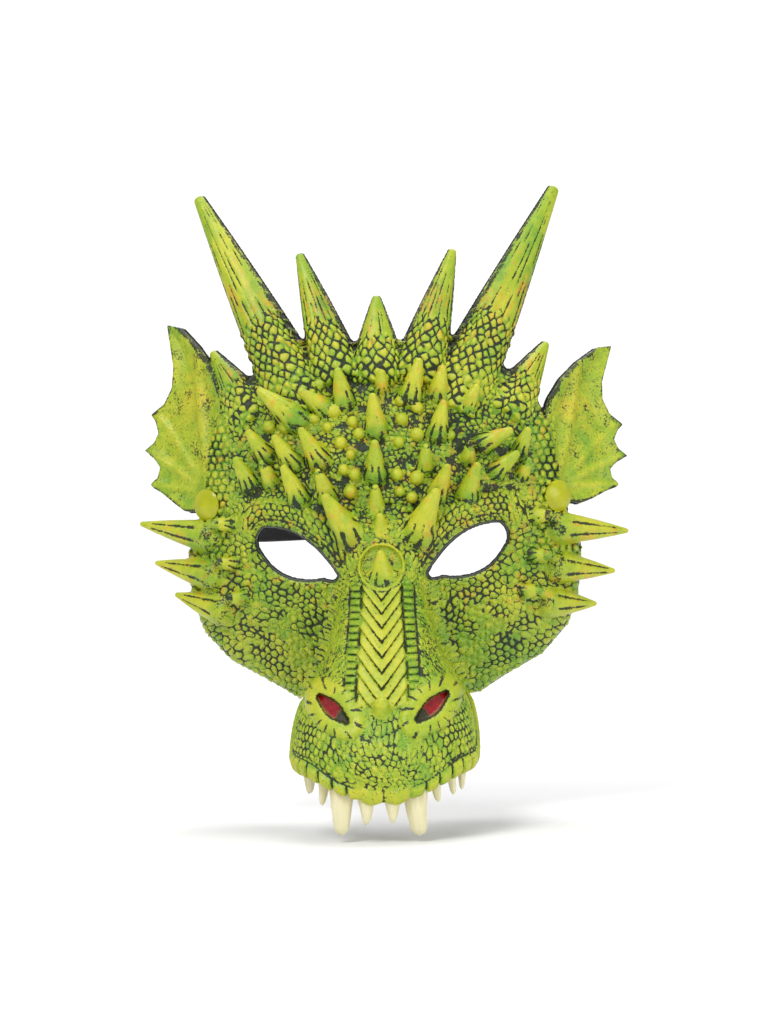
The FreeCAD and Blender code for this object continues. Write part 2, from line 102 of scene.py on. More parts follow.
EAR_TALL_RIGHT, EAR_TALL_LEFT = 0.96, 1.1
RIVET = (72.4, 20.2)
RIVET_SEAT = 6.8
TEMPLE = math.asin(RIVET[0] / FACE_RADIUS)
RIVET_RISE = FACE_RADIUS - 6 - math.sqrt(FACE_RADIUS ** 2 - RIVET[0] ** 2)

# ---- the sculpting grid ----
STEP = 0.5
FAR = 30.0
ROOM = 4.0                      # free space kept round the form
GRID_BACK = 62.0                # the strap behind this is no part of the sculpture
FACE, MUZZLE, EYE_RIM, CHEEK_SPIKE, CONE, BEAD = range(1, 7)
HORN, EAR = 20, 40               # the first of their numbers, one for each horn and ear


def ramp(low, high, x):
    """From nought at low to one at high, smoothly."""
    t = np.clip((x - low) / (high - low), 0, 1)
    return t * t * (3 - 2 * t)


def hump(x, middle, width):
    """A rounded bump of height one."""
    return np.exp(-((x - middle) / width) ** 2)


def curve_through(x, xs, ys):
    """A smooth curve through a few points, read at x."""
    xs, ys = np.array(xs, float), np.array(ys, float)
    slopes = np.gradient(ys, xs)
    i = np.clip(np.searchsorted(xs, x) - 1, 0, len(xs) - 2)
    width = xs[i + 1] - xs[i]
    t = np.clip((x - xs[i]) / width, 0, 1)
    return ((1 + 2 * t) * (1 - t) ** 2 * ys[i] + t * (1 - t) ** 2 * width * slopes[i]
            + t * t * (3 - 2 * t) * ys[i + 1] + t * t * (t - 1) * width * slopes[i + 1])


def blend_max(a, b, k):
    """The larger of two fields, rounded off where they are within k of each other."""
    h = np.maximum(k - np.abs(a - b), 0) / k
    return np.maximum(a, b) + h * h * k / 4


def blend_min(a, b, k):
    return -blend_max(-a, -b, k)


def polygon_distance(u, v, corners):
    """Signed distance from points to a closed polygon, negative inside."""
    best = np.full(np.broadcast(u, v).shape, 1e9)
    inside = np.zeros(best.shape, bool)
    for (a, b), (c, d) in zip(corners, corners[1:] + corners[:1]):
        run, rise = c - a, d - b
        t = np.clip(((u - a) * run + (v - b) * rise) / (run * run + rise * rise), 0, 1)
        best = np.minimum(best, (u - a - t * run) ** 2 + (v - b - t * rise) ** 2)
        if rise:
            inside ^= ((b > v) != (d > v)) & (u < a + run * (v - b) / rise)
    return np.where(inside, -1, 1) * np.sqrt(best)


def eye_polygon():
    points = []
    for start, guide, end in zip(EYE_CORNERS, EYE_GUIDES, EYE_CORNERS[1:] + EYE_CORNERS[:1]):
        pull = [2 * g - (s + e) / 2 for s, g, e in zip(start, guide, end)]
        for t in np.linspace(0, 1, 12, endpoint=False):
            points.append(tuple((1 - t) ** 2 * s + 2 * t * (1 - t) * p + t * t * e
                                for s, p, e in zip(start, pull, end)))
    return points


EYE = eye_polygon()
WHOLE_OUTLINE = OUTLINE + [(-x, z) for x, z in OUTLINE[::-1]]


def eye_distance(x, z):
    return polygon_distance(np.abs(x), z, EYE)


def face_middle(z):
    """Where the middle of the face form stands, as a Y."""
    return -curve_through(z, FACE_HEIGHTS, FACE_FORWARD)


def face_front(x, z, radius=FACE_RADIUS):
    return face_middle(z) + FACE_RADIUS - np.sqrt(np.maximum(radius ** 2 - x * x, 1))


def face_back(x, z):
    return face_front(x, z, FACE_RADIUS - FOAM)


def lip_distance(x, y, z):
    """How far a point is below the lip, negative above it."""
    beak = 2.5 * (1 - hump(x, 0, 13)) * ramp(35, 56, -y)
    return (curve_through(-y, LIP_FORWARD, LIP_HEIGHTS) + beak - z) * 0.86


def muzzle_distance(x, y, z):
    half, reach, depth = (curve_through(z, MUZZLE_HEIGHTS, sizes)
                          for sizes in (MUZZLE_HALF_WIDTHS, MUZZLE_REACH, MUZZLE_DEPTHS))
    out = np.maximum(-y - (reach - depth), 0)
    size = np.sqrt((x / half) ** 2 + (out / depth) ** 2) + 1e-6
    slope = np.sqrt((x / half ** 2) ** 2 + (out / depth ** 2) ** 2) + 1e-6
    return (size - 1) * size / slope * 0.85 + 0.4


class Sculpture:
    """Two fields on one grid: the solid form, and how far behind the form's back each place is."""

    def __init__(self, low, high):
        self.low = np.array(low, float)
        counts = np.ceil((np.array(high) - self.low) / STEP).astype(int) + 1
        self.axes = [self.low[i] + STEP * np.arange(counts[i]) for i in range(3)]
        self.form = np.full(counts, FAR, np.float32)
        self.back = np.full(counts, -FAR, np.float32)
        self.part = np.zeros(counts, np.uint8)

    def window(self, low, high):
        """The grid's slices between two corners, and their coordinates as open arrays."""
        slices = tuple(slice(*np.clip(np.searchsorted(axis, (a, b)), 0, len(axis)))
                       for axis, a, b in zip(self.axes, low, high))
        x, y, z = (axis[s] for axis, s in zip(self.axes, slices))
        return slices, x[:, None, None], y[None, :, None], z[None, None, :]

    def add(self, shape, low, high, part, k=2.0):
        """Join a shape, which gives its distance, and the distance behind its back if it has its own."""
        s, x, y, z = self.window(low, high)
        found = shape(x, y, z)
        own_back = isinstance(found, tuple)
        distance = found[0] if own_back else found
        old = self.form[s]
        share = np.clip(0.5 + 0.5 * (old - distance) / k, 0, 1)
        self.part[s] = np.where(distance < old, part, self.part[s])
        self.form[s] = blend_min(old, distance, k)
        if own_back:
            self.back[s] += (found[1] - self.back[s]) * share

    def cut(self, shape, low, high, part, k=2.0):
        s, x, y, z = self.window(low, high)
        tool = -shape(x, y, z)
        self.part[s] = np.where(tool > self.form[s], part, self.part[s])
        self.form[s] = blend_max(self.form[s], tool, k)


def face_shape(x, y, z):
    front = face_front(x, z) - brow_relief(x, z)
    slope_x = x / np.sqrt(np.maximum(FACE_RADIUS ** 2 - x * x, 1))
    slope_z = (face_middle(z + 1) - face_middle(z - 1)) / 2
    tilt = 1 / np.sqrt(1 + slope_x ** 2 + slope_z ** 2)
    edge = polygon_distance(x, z, WHOLE_OUTLINE)
    distance = blend_max((front - y) * tilt, edge, 3.5)
    back = (y - face_back(x, z)) * tilt
    return distance, back


def brow_relief(x, z):
    """Swells of the face: a brow over each eye, a rolled rim round it, a ridge to the bridge."""
    across = np.abs(x)
    eye = eye_distance(x, z)
    above = ramp(-6, 4, z - (across - 33) * 0.42)
    brow = 3.6 * hump(eye, 7.5, 4.5) * above * ramp(8, 20, across) * ramp(72, 55, across)
    rim = hump(eye, 2.2, 1.6)
    cheek = 2.5 * hump(across, 52, 18) * hump(z, -24, 13)
    return brow + rim + cheek


def horn_frame(row, x, y, z):
    """Coordinates in a right-hand horn's own frame: across, backward, along."""
    across, up, back = row[:3]
    yaw, splay, lean = (math.radians(a) for a in (HORN_YAW * across, row[6], -row[7]))
    cy, sy, cs, ss, cl, sl = (f(a) for a in (yaw, splay, lean) for f in (math.cos, math.sin))
    dx, dy, dz = x - across, y - back, z - up
    px, py = cy * dx + sy * dy, -sy * dx + cy * dy
    qx, qz = cs * px - ss * dz, ss * px + cs * dz
    return qx, cl * py + sl * qz, -sl * py + cl * qz


def horn_shape(row, side):
    half, tip_half, length = row[3:6]

    def shape(x, y, z):
        a, b, c = horn_frame(row, x * side, y, z)
        t = np.clip(c / length, 0, 1)
        width = half + (tip_half - half) * t ** 1.25
        depth = 1.2 + 1.8 * (1 - t) + 0.62 * width
        out = np.maximum(-b, 0)
        size = (np.abs(a / width) ** 2.3 + (out / depth) ** 2.3) ** (1 / 2.3) + 1e-6
        distance = (size - 1) * np.minimum(width, depth) * 0.95
        distance = blend_max(distance, c - length, 1.5)
        return blend_max(distance, -c - 6, 2.0), b

    return shape


def cone_shape(root, tip, root_radius, tip_radius, bend=0.0, fullness=1.15):
    """A cone with rounded ends; bend bows its middle forward, and fullness above one swells it."""
    root, tip = np.array(root, float), np.array(tip, float)
    run = tip - root
    length2 = float(run @ run)

    def shape(x, y, z):
        t = np.clip(((x - root[0]) * run[0] + (y - root[1]) * run[1] + (z - root[2]) * run[2])
                    / length2, 0, 1)
        bow = bend * 4 * t * (1 - t)
        distance = np.sqrt((x - root[0] - t * run[0]) ** 2 + (y - root[1] - t * run[1] + bow) ** 2
                           + (z - root[2] - t * run[2]) ** 2)
        return distance - (root_radius + (tip_radius - root_radius) * t ** fullness)

    return shape


def cone_room(root, tip, radius):
    """The corners of the box that a cone can change."""
    root, tip = np.array(root), np.array(tip)
    return np.minimum(root, tip) - radius - ROOM, np.maximum(root, tip) + radius + ROOM


def temple_frame(x, y):
    """How far outward along the temple a point is from the rivet, and how far inward of its face."""
    dx, dy = np.abs(x) - RIVET[0], y - RIVET_RISE
    return (math.cos(TEMPLE) * dx + math.sin(TEMPLE) * dy,
            -math.sin(TEMPLE) * dx + math.cos(TEMPLE) * dy)


def ear_frame(x, y, z):
    """Coordinates in an ear's plane: along from the rivet, up, behind. The left ear is drawn out taller
    and the right one hangs further open."""
    along, inward = temple_frame(x, y)
    inward, dz = inward - EAR_SINK, z - RIVET[1]
    lean = math.radians(EAR_LEAN)
    up = math.sin(lean) * inward + math.cos(lean) * dz
    turn = np.where(x > 0, EAR_OPEN, 0.0) * ramp(2, 20, np.hypot(along, up))
    tall = np.where(x > 0, EAR_TALL_RIGHT, EAR_TALL_LEFT)
    return (np.cos(turn) * along - np.sin(turn) * up, (np.sin(turn) * along + np.cos(turn) * up) / tall,
            math.cos(lean) * inward - math.sin(lean) * dz)


def ear_shape(x, y, z):
    along, up, behind = ear_frame(x, y, z)
    edge = polygon_distance(along, up, EAR_OUTLINE)
    dish = 1.9 * ramp(0.5, 7, -edge)
    return blend_max(edge, dish - behind, 1.0), behind - EAR_THICK


# ---- the raised spikes and beads of the forehead ----
# Root across and up, tip across and up.
SPIKES = [
    (-14, 62, -16, 73), (-23, 59, -31, 65), (-35, 55, -48, 66), (-47, 40.5, -53, 49), (-25, 38, -31, 49),
    (-36, 37, -42, 46.5), (-44.5, 29.5, -47.5, 36.5), (-54, 29, -58.5, 38), (-33.5, 23, -38.5, 34),
    (-21.5, 23, -24.5, 32), (13.5, 63.5, 17, 76), (24.5, 63.5, 26.5, 73), (36.5, 58, 40, 65),
    (24, 48, 26.5, 58.5), (43, 42.5, 53, 47), (57.5, 40, 60.5, 47), (36, 36.5, 37, 42), (18.5, 34, 19, 41),
    (48, 31.5, 55.5, 37.5), (58, 30, 60.5, 34.5), (23.5, 23, 27.5, 32.5), (35.5, 22.5, 39.5, 33),
    (1.5, 66, 1.5, 71.5), (-1, 50, -2, 62), (-1.5, 31.5, -1.5, 43), (-1.5, 15, -1.5, 25), (0, 3.5, 0, 13.5)]
BROW_SPIKES = [(-11.5, 5, -21.5, 21.5), (14, 5, 22.5, 22.5)]
BEADS = [
    (-34, 80), (-34.5, 74.5), (-24, 68), (-18, 57), (-26.5, 54), (-10.5, 52.5), (-45, 51.5), (-38, 51),
    (-21, 50.5), (-8, 47.5), (-15.5, 44), (-24.5, 42), (-11.5, 39), (-14.5, 33), (-10, 31), (-12, 24),
    (9, 60.5), (16, 57.5), (9.5, 53), (15.5, 46.5), (29, 46), (8, 43.5), (7, 30.5), (15, 29), (8, 23.5),
    (13, 21), (7.5, 15)]


def on_face(x, z, above=0.0):
    """A point on the face's front, or so far in front of it."""
    x, z = float(x), float(z)
    return [x, float(face_front(x, z) - brow_relief(x, z)) - above, z]


def small_cones():
    """Root, tip, root radius, tip radius and bow of each cone that stands on the face."""
    cones = []
    for across, up, tip_across, tip_up in SPIKES:
        length = math.hypot(tip_across - across, tip_up - up)
        across -= 0.12 * (tip_across - across)
        up -= 0.12 * (tip_up - up)
        cones.append((on_face(across, up, -0.5), on_face(tip_across, tip_up, 3.2 + 0.42 * length),
                      2.1 + 0.25 * length, 1.75, 1.0))
    cones.append(([0, -14.5, -12], [0, -17.5, -1.5], 5.6, 1.8, 0.5))
    cones.append(([0, -51, -65.5], [0, -56, -59], 4.6, 3.0, 0.0))
    for row in BROW_SPIKES:
        cones.append((on_face(row[0], row[1], -1.0), on_face(row[2], row[3], 9.0), 7.6, 2.2, 2.2))
    for across, up, tip_across, tip_up in CHEEK_SPIKES:
        for side in (1, -1):
            root = on_face(side * (across - 9), up + 1.5, 0.5)
            cones.append((root, [root[0] + side * 5.5, root[1] - 1.5, root[2] + 0.5], 3.6, 2.0, 0.5))
    return cones


def cheek_spikes():
    """Root, tip and side of each cheek spike."""
    for across, up, tip_across, tip_up in CHEEK_SPIKES:
        root_back = float(face_front(float(across), float(up))) + SPIKE_SINK
        tip_back = root_back + SPIKE_SWEEP * (tip_across - across)
        for side in (1, -1):
            yield ([side * across, root_back, up - SPIKE_RISE],
                   [side * tip_across, tip_back, tip_up - side * SPIKE_SKEW], side)


def cheek_spike_shape(root, tip, side):
    cone = cone_shape(root, tip, SPIKE_ROOT, SPIKE_TIP, fullness=1.3)
    heading = math.atan2(tip[1] - root[1], side * (tip[0] - root[0]))

    def shape(x, y, z):
        dx, dy = x * side - root[0] * side, y - root[1]
        behind = math.cos(heading) * dy - math.sin(heading) * dx
        return cone(x, y, z), behind - 2.6 + 0.06 * dx + 0 * z

    return shape


def seat_shape(x, y, z):
    """The round flats on the temples that the rivet caps lie on."""
    along, inward = temple_frame(x, y)
    return np.maximum(np.hypot(along, z - RIVET[1]) - RIVET_SEAT, inward)


def eye_shape(x, y, z):
    return eye_distance(x, z) + 0 * y


def build_sculpture():
    low = np.array(CAD_LOW) / MM - ROOM
    high = np.array(CAD_HIGH) / MM + ROOM
    high[1] = GRID_BACK
    form = Sculpture(low, high)
    form.add(face_shape, (-90, -14, -68), (90, 60, 92), FACE)
    for number, row in enumerate(HORNS):
        for side in ((1,) if number == 0 else (1, -1)):
            reach = row[5] + 6
            tip_across = row[0] + reach * math.sin(math.radians(row[6]))
            low_x, high_x = sorted((side * (row[0] - row[3] - 4), side * (tip_across + row[3] + 6)))
            form.add(horn_shape(row, side), (low_x, -18, row[1] - 14), (high_x, GRID_BACK, row[1] + reach),
                     HORN + 2 * number + (side < 0), k=3.0)
    for root, tip, side in cheek_spikes():
        form.add(cheek_spike_shape(root, tip, side), *cone_room(root, tip, SPIKE_ROOT), CHEEK_SPIKE, k=2.5)
    for side in (1, -1):
        low_x, high_x = sorted((side * 60, side * 108))
        form.add(ear_shape, (low_x, 4, 12), (high_x, GRID_BACK, 102), EAR + (side < 0), k=1.5)
    add_muzzle(form)
    for root, tip, root_radius, tip_radius, bend in small_cones():
        form.add(cone_shape(root, tip, root_radius, tip_radius, bend), *cone_room(root, tip, root_radius),
                 CONE)
    for number, (across, up) in enumerate(BEADS):
        centre = on_face(across, up, 0.6)
        radius = 2.1 + 0.25 * (number % 4)
        form.add(cone_shape(centre, [centre[0], centre[1] - 0.01, centre[2]], radius, radius),
                 *cone_room(centre, centre, radius), BEAD, k=0.8)
    form.cut(seat_shape, (-90, 0, 10), (90, 40, 32), FACE, k=0.8)
    form.cut(eye_shape, (-60, -30, -30), (60, GRID_BACK, 25), EYE_RIM, k=3.5)
    return form


def add_muzzle(form):
    """Join the hollow muzzle, cut it off along the lip, and open its inside to the back of the face."""
    s, x, y, z = form.window((-44, -68, -106), (44, 40, 18))
    distance = muzzle_distance(x, y, z)
    lip = lip_distance(x, y, z)
    distance = distance - 0.8 * hump(lip, -3.5, 2.8) * ramp(30, 0, y)
    old = form.form[s]
    form.part[s] = np.where(distance < old, MUZZLE, form.part[s])
    form.form[s] = blend_max(blend_min(old, distance, MUZZLE_BLEND), lip, LIP_BLEND)
    behind = (y - np.minimum(face_back(x, z), 24)) * 0.9
    inside = -(distance + MUZZLE_WALL)
    back = form.back[s]
    behind = np.where(back < -FAR + 1, behind, np.maximum(back, np.where(distance < 0, behind, -FAR)))
    form.back[s] = blend_max(behind, inside, 2.5)


def grid_mesh(field, low, adaptivity):
    """The field's zero surface as vertices, triangles and quads."""
    grid = openvdb.FloatGrid(FAR)
    grid.copyFromArray(field.astype(np.float32))
    points, triangles, quads = grid.convertToPolygons(0.0, adaptivity=adaptivity)
    return points * STEP + low, triangles, quads


# ---- relief and paint ----

def scatter(a, b, seed):
    """A random number from 0 to 1 for each pair of whole numbers."""
    h = np.sin(a * 127.1 + b * 311.7 + seed * 74.7) * 43758.5453
    return h - np.floor(h)


def drift(u, v, seed):
    """Smooth noise from -1 to 1 over units of one."""
    i, j = np.floor(u), np.floor(v)
    s, t = u - i, v - j
    s, t = s * s * (3 - 2 * s), t * t * (3 - 2 * t)
    low = scatter(i, j, seed) * (1 - s) + scatter(i + 1, j, seed) * s
    high = scatter(i, j + 1, seed) * (1 - s) + scatter(i + 1, j + 1, seed) * s
    return 2 * (low * (1 - t) + high * t) - 1


def scales(u, v, jitter, seed, stagger=0.5):
    """Rows of scales, each shifted against the next: how far inside its scale's border a point is, and a
    number for that scale."""
    row = np.floor(v)
    first = np.full(u.shape, 9.0)
    second = np.full(u.shape, 9.0)
    chosen = np.zeros(u.shape)
    for down in (-1, 0, 1):
        r = row + down
        shift = stagger * (r % 2)
        column = np.floor(u - shift)
        for over in (-1, 0, 1):
            c = column + over
            du = u - shift - c - 0.5 - jitter * (scatter(c, r, seed) - 0.5)
            dv = v - r - 0.5 - jitter * (scatter(c, r, seed + 1) - 0.5)
            d = np.sqrt(du * du + dv * dv)
            chosen = np.where(d < first, scatter(c, r, seed + 2), chosen)
            second = np.where(d < first, first, np.minimum(second, d))
            first = np.minimum(first, d)
    return second - first, chosen


class Skin:
    """Height and paint of a set of surface points."""

    # The first field is the black paint in the hollows, which also carries painted shade round the nostrils
    # and at the cone roots.
    PLAIN = {"wash": 0.15, "tone": 0.5, "blush": 0.0, "red": 0.0, "pebble": 1.0}

    def __init__(self, x, y, z, part):
        self.x, self.y, self.z, self.part = x, y, z, part
        self.height = np.zeros(len(x))
        for name, start in self.PLAIN.items():
            setattr(self, name, np.full(len(x), start))

    def choose(self, wanted):
        """Choose the points that the next calls paint, and give their coordinates."""
        self.where = np.nonzero(wanted)[0]
        return self.x[self.where], self.y[self.where], self.z[self.where]

    def on(self, part):
        """One on the chosen points of a part, nought on the others."""
        return (self.part[self.where] == part) * 1.0

    def put(self, weight, **fields):
        """Move the chosen points' fields towards values by a weight."""
        for name, wanted in fields.items():
            field = getattr(self, name)
            field[self.where] += weight * (wanted - field[self.where])

    def press(self, weight, u, v, jitter, seed, height, groove=0.28, dark=0.9, tone=0.6, edge_tone=0.25):
        """Put a field of scales on the chosen points."""
        border, number = scales(u, v, jitter, seed)
        border = border + 0.13 * drift(u / 2.6, v / 2.6, seed + 5)
        dome = ramp(0, 0.6, border)
        broken = ramp(-0.75, 0.05, drift(u / 1.1, v / 1.1, seed + 6))
        wide = groove * (1.15 + 0.6 * drift(u / 3.4, v / 3.4, seed + 7))
        self.put(weight, height=height * (dome - 0.5 + 0.35 * (number - 0.5)),
                 wash=dark * broken * (1 - ramp(wide * 0.3, wide, border)),
                 tone=edge_tone + (tone + 0.3 * (number - 0.5) - edge_tone) * dome)


def paint_face(skin):
    """Everything that lies on the face and muzzle between the spikes."""
    x, y, z = skin.choose((skin.part < HORN) & (skin.part > 0))
    across = np.abs(x)
    eye = eye_distance(x, z)
    lip = lip_distance(x, y, z)
    warp = drift(x / 9, z / 9, 3)
    warp2 = drift(x / 9 + 40, z / 9, 4)
    snout = muzzle_distance(x, y, z)
    on_snout = ramp(5, 1.5, snout) * ramp(-2, -12, z)

    skin.press(1.0, (x + warp) / 2.3, (z + warp2) / 2.1, 0.9, 11, 0.8, dark=1.0, tone=0.66,
               edge_tone=0.4)

    cheek = ramp(6, -3, z - 0.12 * across) * (1 - on_snout)
    u = (0.85 * across + 0.53 * z + 1.4 * warp) / 3.1
    v = (0.85 * z - 0.53 * across + 1.4 * warp2 + 0.006 * (across - 45) ** 2) / 2.6
    skin.press(cheek, u, v, 0.55, 21, 0.75, dark=1.1, edge_tone=0.45)
    coverage = cheek * hump(across, 46, 11) * hump(z, -24, 10)
    skin.put(0.5 * coverage, tone=0.75)
    skin.put(0.3 * coverage * ramp(-0.2, 0.5, warp), wash=0.0)

    sooty = ramp(4, 16, z) * ramp(0.0, 0.75, drift(x / 3.6, z / 3.6, 23) + 0.35 * drift(x, z, 24))
    skin.put(0.8 * sooty, wash=1.0, height=-0.5)

    flecks = ramp(0.25, 0.7, drift(x / 2.4, z / 2.8, 33)) * ramp(-45, -20, z) * (1 - on_snout)
    skin.put(0.45 * flecks, blush=1.0)

    along = np.sign(x) * (across - 33) + 0.3 * warp
    brow = ramp(13, 11, eye) * ramp(2.2, 3.4, eye) * ramp(-3, 3, z - (across - 33) * 0.42)
    brow = brow * ramp(10, 14, across)
    skin.press(brow, along / 2.6, eye / 2.5, 0.4, 31, 0.9, dark=1.0, tone=0.75, edge_tone=0.45)
    skin.put(brow * hump(eye, 3.3, 0.7), wash=0.9, height=-0.6)

    temple = ramp(60, 66, across) * ramp(-8, 0, z) * ramp(60, 50, z)
    skin.press(temple, (x + 0.5 * warp) / 3.2, (z + 0.5 * warp2) / 3.1, 0.4, 41, 1.2, tone=0.8,
               edge_tone=0.2)

    turn = np.arctan2(x, -(y + 16))
    u = turn * 34
    skin.press(on_snout, (u + warp) / 1.8, (lip + warp2) / 1.7, 0.8, 51, 0.5,
               groove=0.25, dark=0.95, tone=0.7, edge_tone=0.45)
    folds = on_snout * ramp(-26, -20, lip) * ramp(8, 16, np.abs(u))
    skin.press(folds, (u + 0.4 * warp) / 2.1, (lip + 0.5 * warp2) / 2.3, 0.35, 53, 0.7,
               groove=0.3, dark=1.0, tone=0.72, edge_tone=0.4)

    paint_bridge(skin, x, y, z)
    paint_nostrils(skin, x, y, z)

    block, number = scales((u + 1.0 + 0.8 * drift(u / 12, 0 * u, 7)) / 4.4, 0 * u + 0.5, 0.25, 61)
    row = ramp(-6.2, -5.6, lip) * ramp(12, 2, y)
    side = np.minimum(ramp(0, 0.45, block), ramp(0, 1.4, lip + 5.9))
    skin.put(row, height=1.3 * side - 0.4, wash=1.0 - ramp(0.1, 0.45, side),
             tone=0.35 + 0.4 * side + 0.15 * number, pebble=0.6)
    crease = hump(lip, -6.3, 0.5) * ramp(12, 2, y) * ramp(-0.5, 0.3, drift(u / 3, 0 * u, 8))
    skin.put(0.6 * crease, height=-0.7, wash=0.9)
    chin = ramp(-7.5, -6, lip) * ramp(12, 9, across) * ramp(-30, -40, y)
    bulge = hump(across, 5.5, 4.0)
    skin.put(chin, height=1.3 * bulge + 0.1, wash=0.8 * hump(across, 0, 0.8), tone=0.75)

    rim = ramp(1.5, 0.8, eye)
    skin.put(rim, height=0.0, wash=0.9 * ramp(0.8, 0.1, eye), tone=0.5, pebble=0.7)
    skin.put(skin.on(EYE_RIM), height=0.0, wash=0.95, tone=0.3)


RING_UP = -6.5                  # height of the middle of the ring between the eyes


def paint_bridge(skin, x, y, z):
    """Overlapping chevrons down the nose between two ladders, under a grooved ring."""
    across = np.abs(x)
    half = 7.7 + 2.1 * ramp(-15, -57, z)
    tall = ramp(-61, -58.5, z) * ramp(-12.5, -15, z) * (y < 0)
    down = 1.35 * across - z - 15.4
    rise = -down / (5.1 + 0.0125 * down)
    phase = rise - np.floor(rise)
    band = tall * ramp(half + 0.35, half - 0.35, across + 1.8 * (phase - 0.5))
    gap = 0.2 + 0.14 * hump(across, 0, 2.6)
    plate = ramp(0.0, gap, phase) * (1.2 - 0.8 * phase)
    fine = 0.5 + 0.5 * np.cos(2 * np.pi * phase * 4)
    skin.put(band, height=1.9 * plate - 0.5 + 0.1 * fine,
             wash=(1.1 - ramp(0.5 * gap, 1.1 * gap, phase)) * (0.6 + 0.4 * hump(across, 0, 4))
             + 0.25 * (1 - fine) * hump(phase, 0.62, 0.2),
             tone=0.72 + 0.22 * plate, pebble=0.25)

    ladder = tall * ramp(half + 0.6, half + 1.0, across) * ramp(half + 5.0, half + 4.6, across)
    step = z / 2.7 + 0.1 * drift(z / 7, x / 7, 71)
    rung = 0.5 - np.abs(step - np.floor(step) - 0.5)
    skin.put(ladder, height=1.1 * ramp(0.02, 0.25, rung) - 0.35,
             wash=0.8 - 0.8 * ramp(0.05, 0.2, rung), tone=0.35 + 0.25 * ramp(0.1, 0.4, rung))
    for edge in (0.4, 5.3):
        groove = tall * hump(across, half + edge, 0.55)
        skin.put(groove * ramp(-0.7, 0.0, drift(z / 3, x / 9, 72)), height=-0.8, wash=0.95)

    radius = np.hypot(x, z - RING_UP)
    near = y < 5
    inside = near * ramp(9.6, 8.8, radius)
    skin.put(inside, height=-0.9, tone=0.45, wash=0.35, pebble=0.7)
    ring = near * hump(radius, 8.9, 0.7)
    skin.put(ring, height=0.9, wash=0.0, tone=0.85)
    beads, _ = scales(np.arctan2(x, z - RING_UP) * 2.6, radius / 2.4, 0.3, 73)
    below = near * ramp(-7, -9, z) * ramp(8.2, 7.6, radius) * ramp(4.5, 5.2, radius)
    skin.put(below, height=0.7 * ramp(0, 0.5, beads), wash=0.9 * (1 - ramp(0.05, 0.3, beads)),
             tone=0.8)
    skin.put(0.7 * near * hump(radius, 9.9, 0.4), wash=0.8)


NOSTRIL_START, NOSTRIL_END = np.array((14.2, -65.0)), np.array((24.7, -56.5))    # across and up


def paint_nostrils(skin, x, y, z):
    """Red slits with a dark rim of painted shade, in wings with notches round them."""
    across = np.abs(x)
    run = NOSTRIL_END - NOSTRIL_START
    du, dv = across - NOSTRIL_START[0], z - NOSTRIL_START[1]
    t = np.clip((du * run[0] + dv * run[1]) / (run @ run), 0, 1)
    gap = np.hypot(du - t * run[0], dv - t * run[1]) - (0.9 + 1.7 * np.sin(np.pi * t))
    front = ramp(-22, -30, y) * ramp(34, 29, across)
    angle = np.arctan2(z + 61, across - 19.5)
    notch = 0.5 + 0.5 * np.cos(angle * 13)
    wing = front * ramp(7.5, 5.5, gap)
    skin.put(wing, height=2.6 * hump(gap, 3.2, 2.4) + 0.25 * notch * ramp(2, 4, gap),
             wash=0.75 * (1 - ramp(0.0, 0.3, notch)) * ramp(2.0, 3.5, gap), tone=0.8, pebble=0.4)
    # Painted shade of the nostril recess: a black ring round each slit, the red darkening towards its edge
    # and going black at its inner end.
    skin.put(front * hump(gap, 0.2, 0.8), wash=1.0)
    slit = front * ramp(0.5, -0.4, gap)
    skin.put(slit, red=1.0, wash=np.maximum(0.25 * ramp(-1.2, 0, gap), ramp(0.38, 0.2, t)),
             pebble=0.1, height=-1.4)


def paint_cones(skin):
    """Grooved sides, dark roots (black paint with painted shade where they meet the face) and bright tips on
    the cones and beads.
    """
    x, y, z = skin.choose(np.isin(skin.part, (CONE, BEAD, CHEEK_SPIKE)))
    nearest = np.full(len(x), 1e9)
    along = np.ones(len(x))
    angle = np.zeros(len(x))
    cones = [cone[:3] for cone in small_cones()]
    cones += [(root, tip, SPIKE_ROOT) for root, tip, _ in cheek_spikes()]
    for root, tip, radius in cones:
        root = np.array(root, float)
        run = np.array(tip, float) - root
        near = np.nonzero(np.abs(x - root[0]) + np.abs(z - root[2]) < np.abs(run).sum() + 2 * radius)[0]
        dx, dy, dz = x[near] - root[0], y[near] - root[1], z[near] - root[2]
        t = np.clip((dx * run[0] + dy * run[1] + dz * run[2]) / (run @ run), 0, 1.05)
        off = np.sqrt((dx - t * run[0]) ** 2 + (dy - t * run[1]) ** 2 + (dz - t * run[2]) ** 2)
        share = off / (radius * (1.1 - 0.9 * t))
        picked = share < nearest[near]
        closer = near[picked]
        nearest[closer] = share[picked]
        along[closer] = t[picked]
        sideways = (dx * run[2] - dz * run[0])[picked] / np.hypot(run[0], run[2])
        angle[closer] = np.arcsin(np.clip(sideways / (radius * (1.15 - 0.95 * t[picked])), -1, 1))
    strokes = 0.5 + 0.5 * np.cos(angle * 9 + 1.5 * drift(x / 4, z / 4, 9))
    strokes = ramp(0.45, 0.15, strokes) * ramp(-0.05, 0.06, along) * ramp(0.6, 0.3, along)
    strokes = strokes * ramp(-0.9, -0.1, drift(x / 3 + 20, z / 5, 10))
    # Darker roots: black paint, and painted shade where each cone meets the face.
    foot = ramp(0.1, 0.0, along)
    skin.put(skin.on(CONE), height=-0.5 * strokes, wash=0.85 * strokes + 0.5 * foot,
             tone=0.45 + 0.4 * ramp(0.05, 0.45, along), pebble=0.3)
    furrows = np.maximum(hump(angle, -0.42, 0.13), hump(angle, 0.4, 0.13)) * ramp(0.0, 0.2, along)
    furrows = furrows * ramp(0.97, 0.8, along)
    skin.put(skin.on(CHEEK_SPIKE), height=-0.6 * furrows, wash=0.95 * furrows + 0.5 * foot,
             tone=0.55 + 0.35 * ramp(0.0, 0.5, along), pebble=0.3)
    skin.put(skin.on(BEAD), height=0.0, wash=0.0, tone=0.85, pebble=0.1)


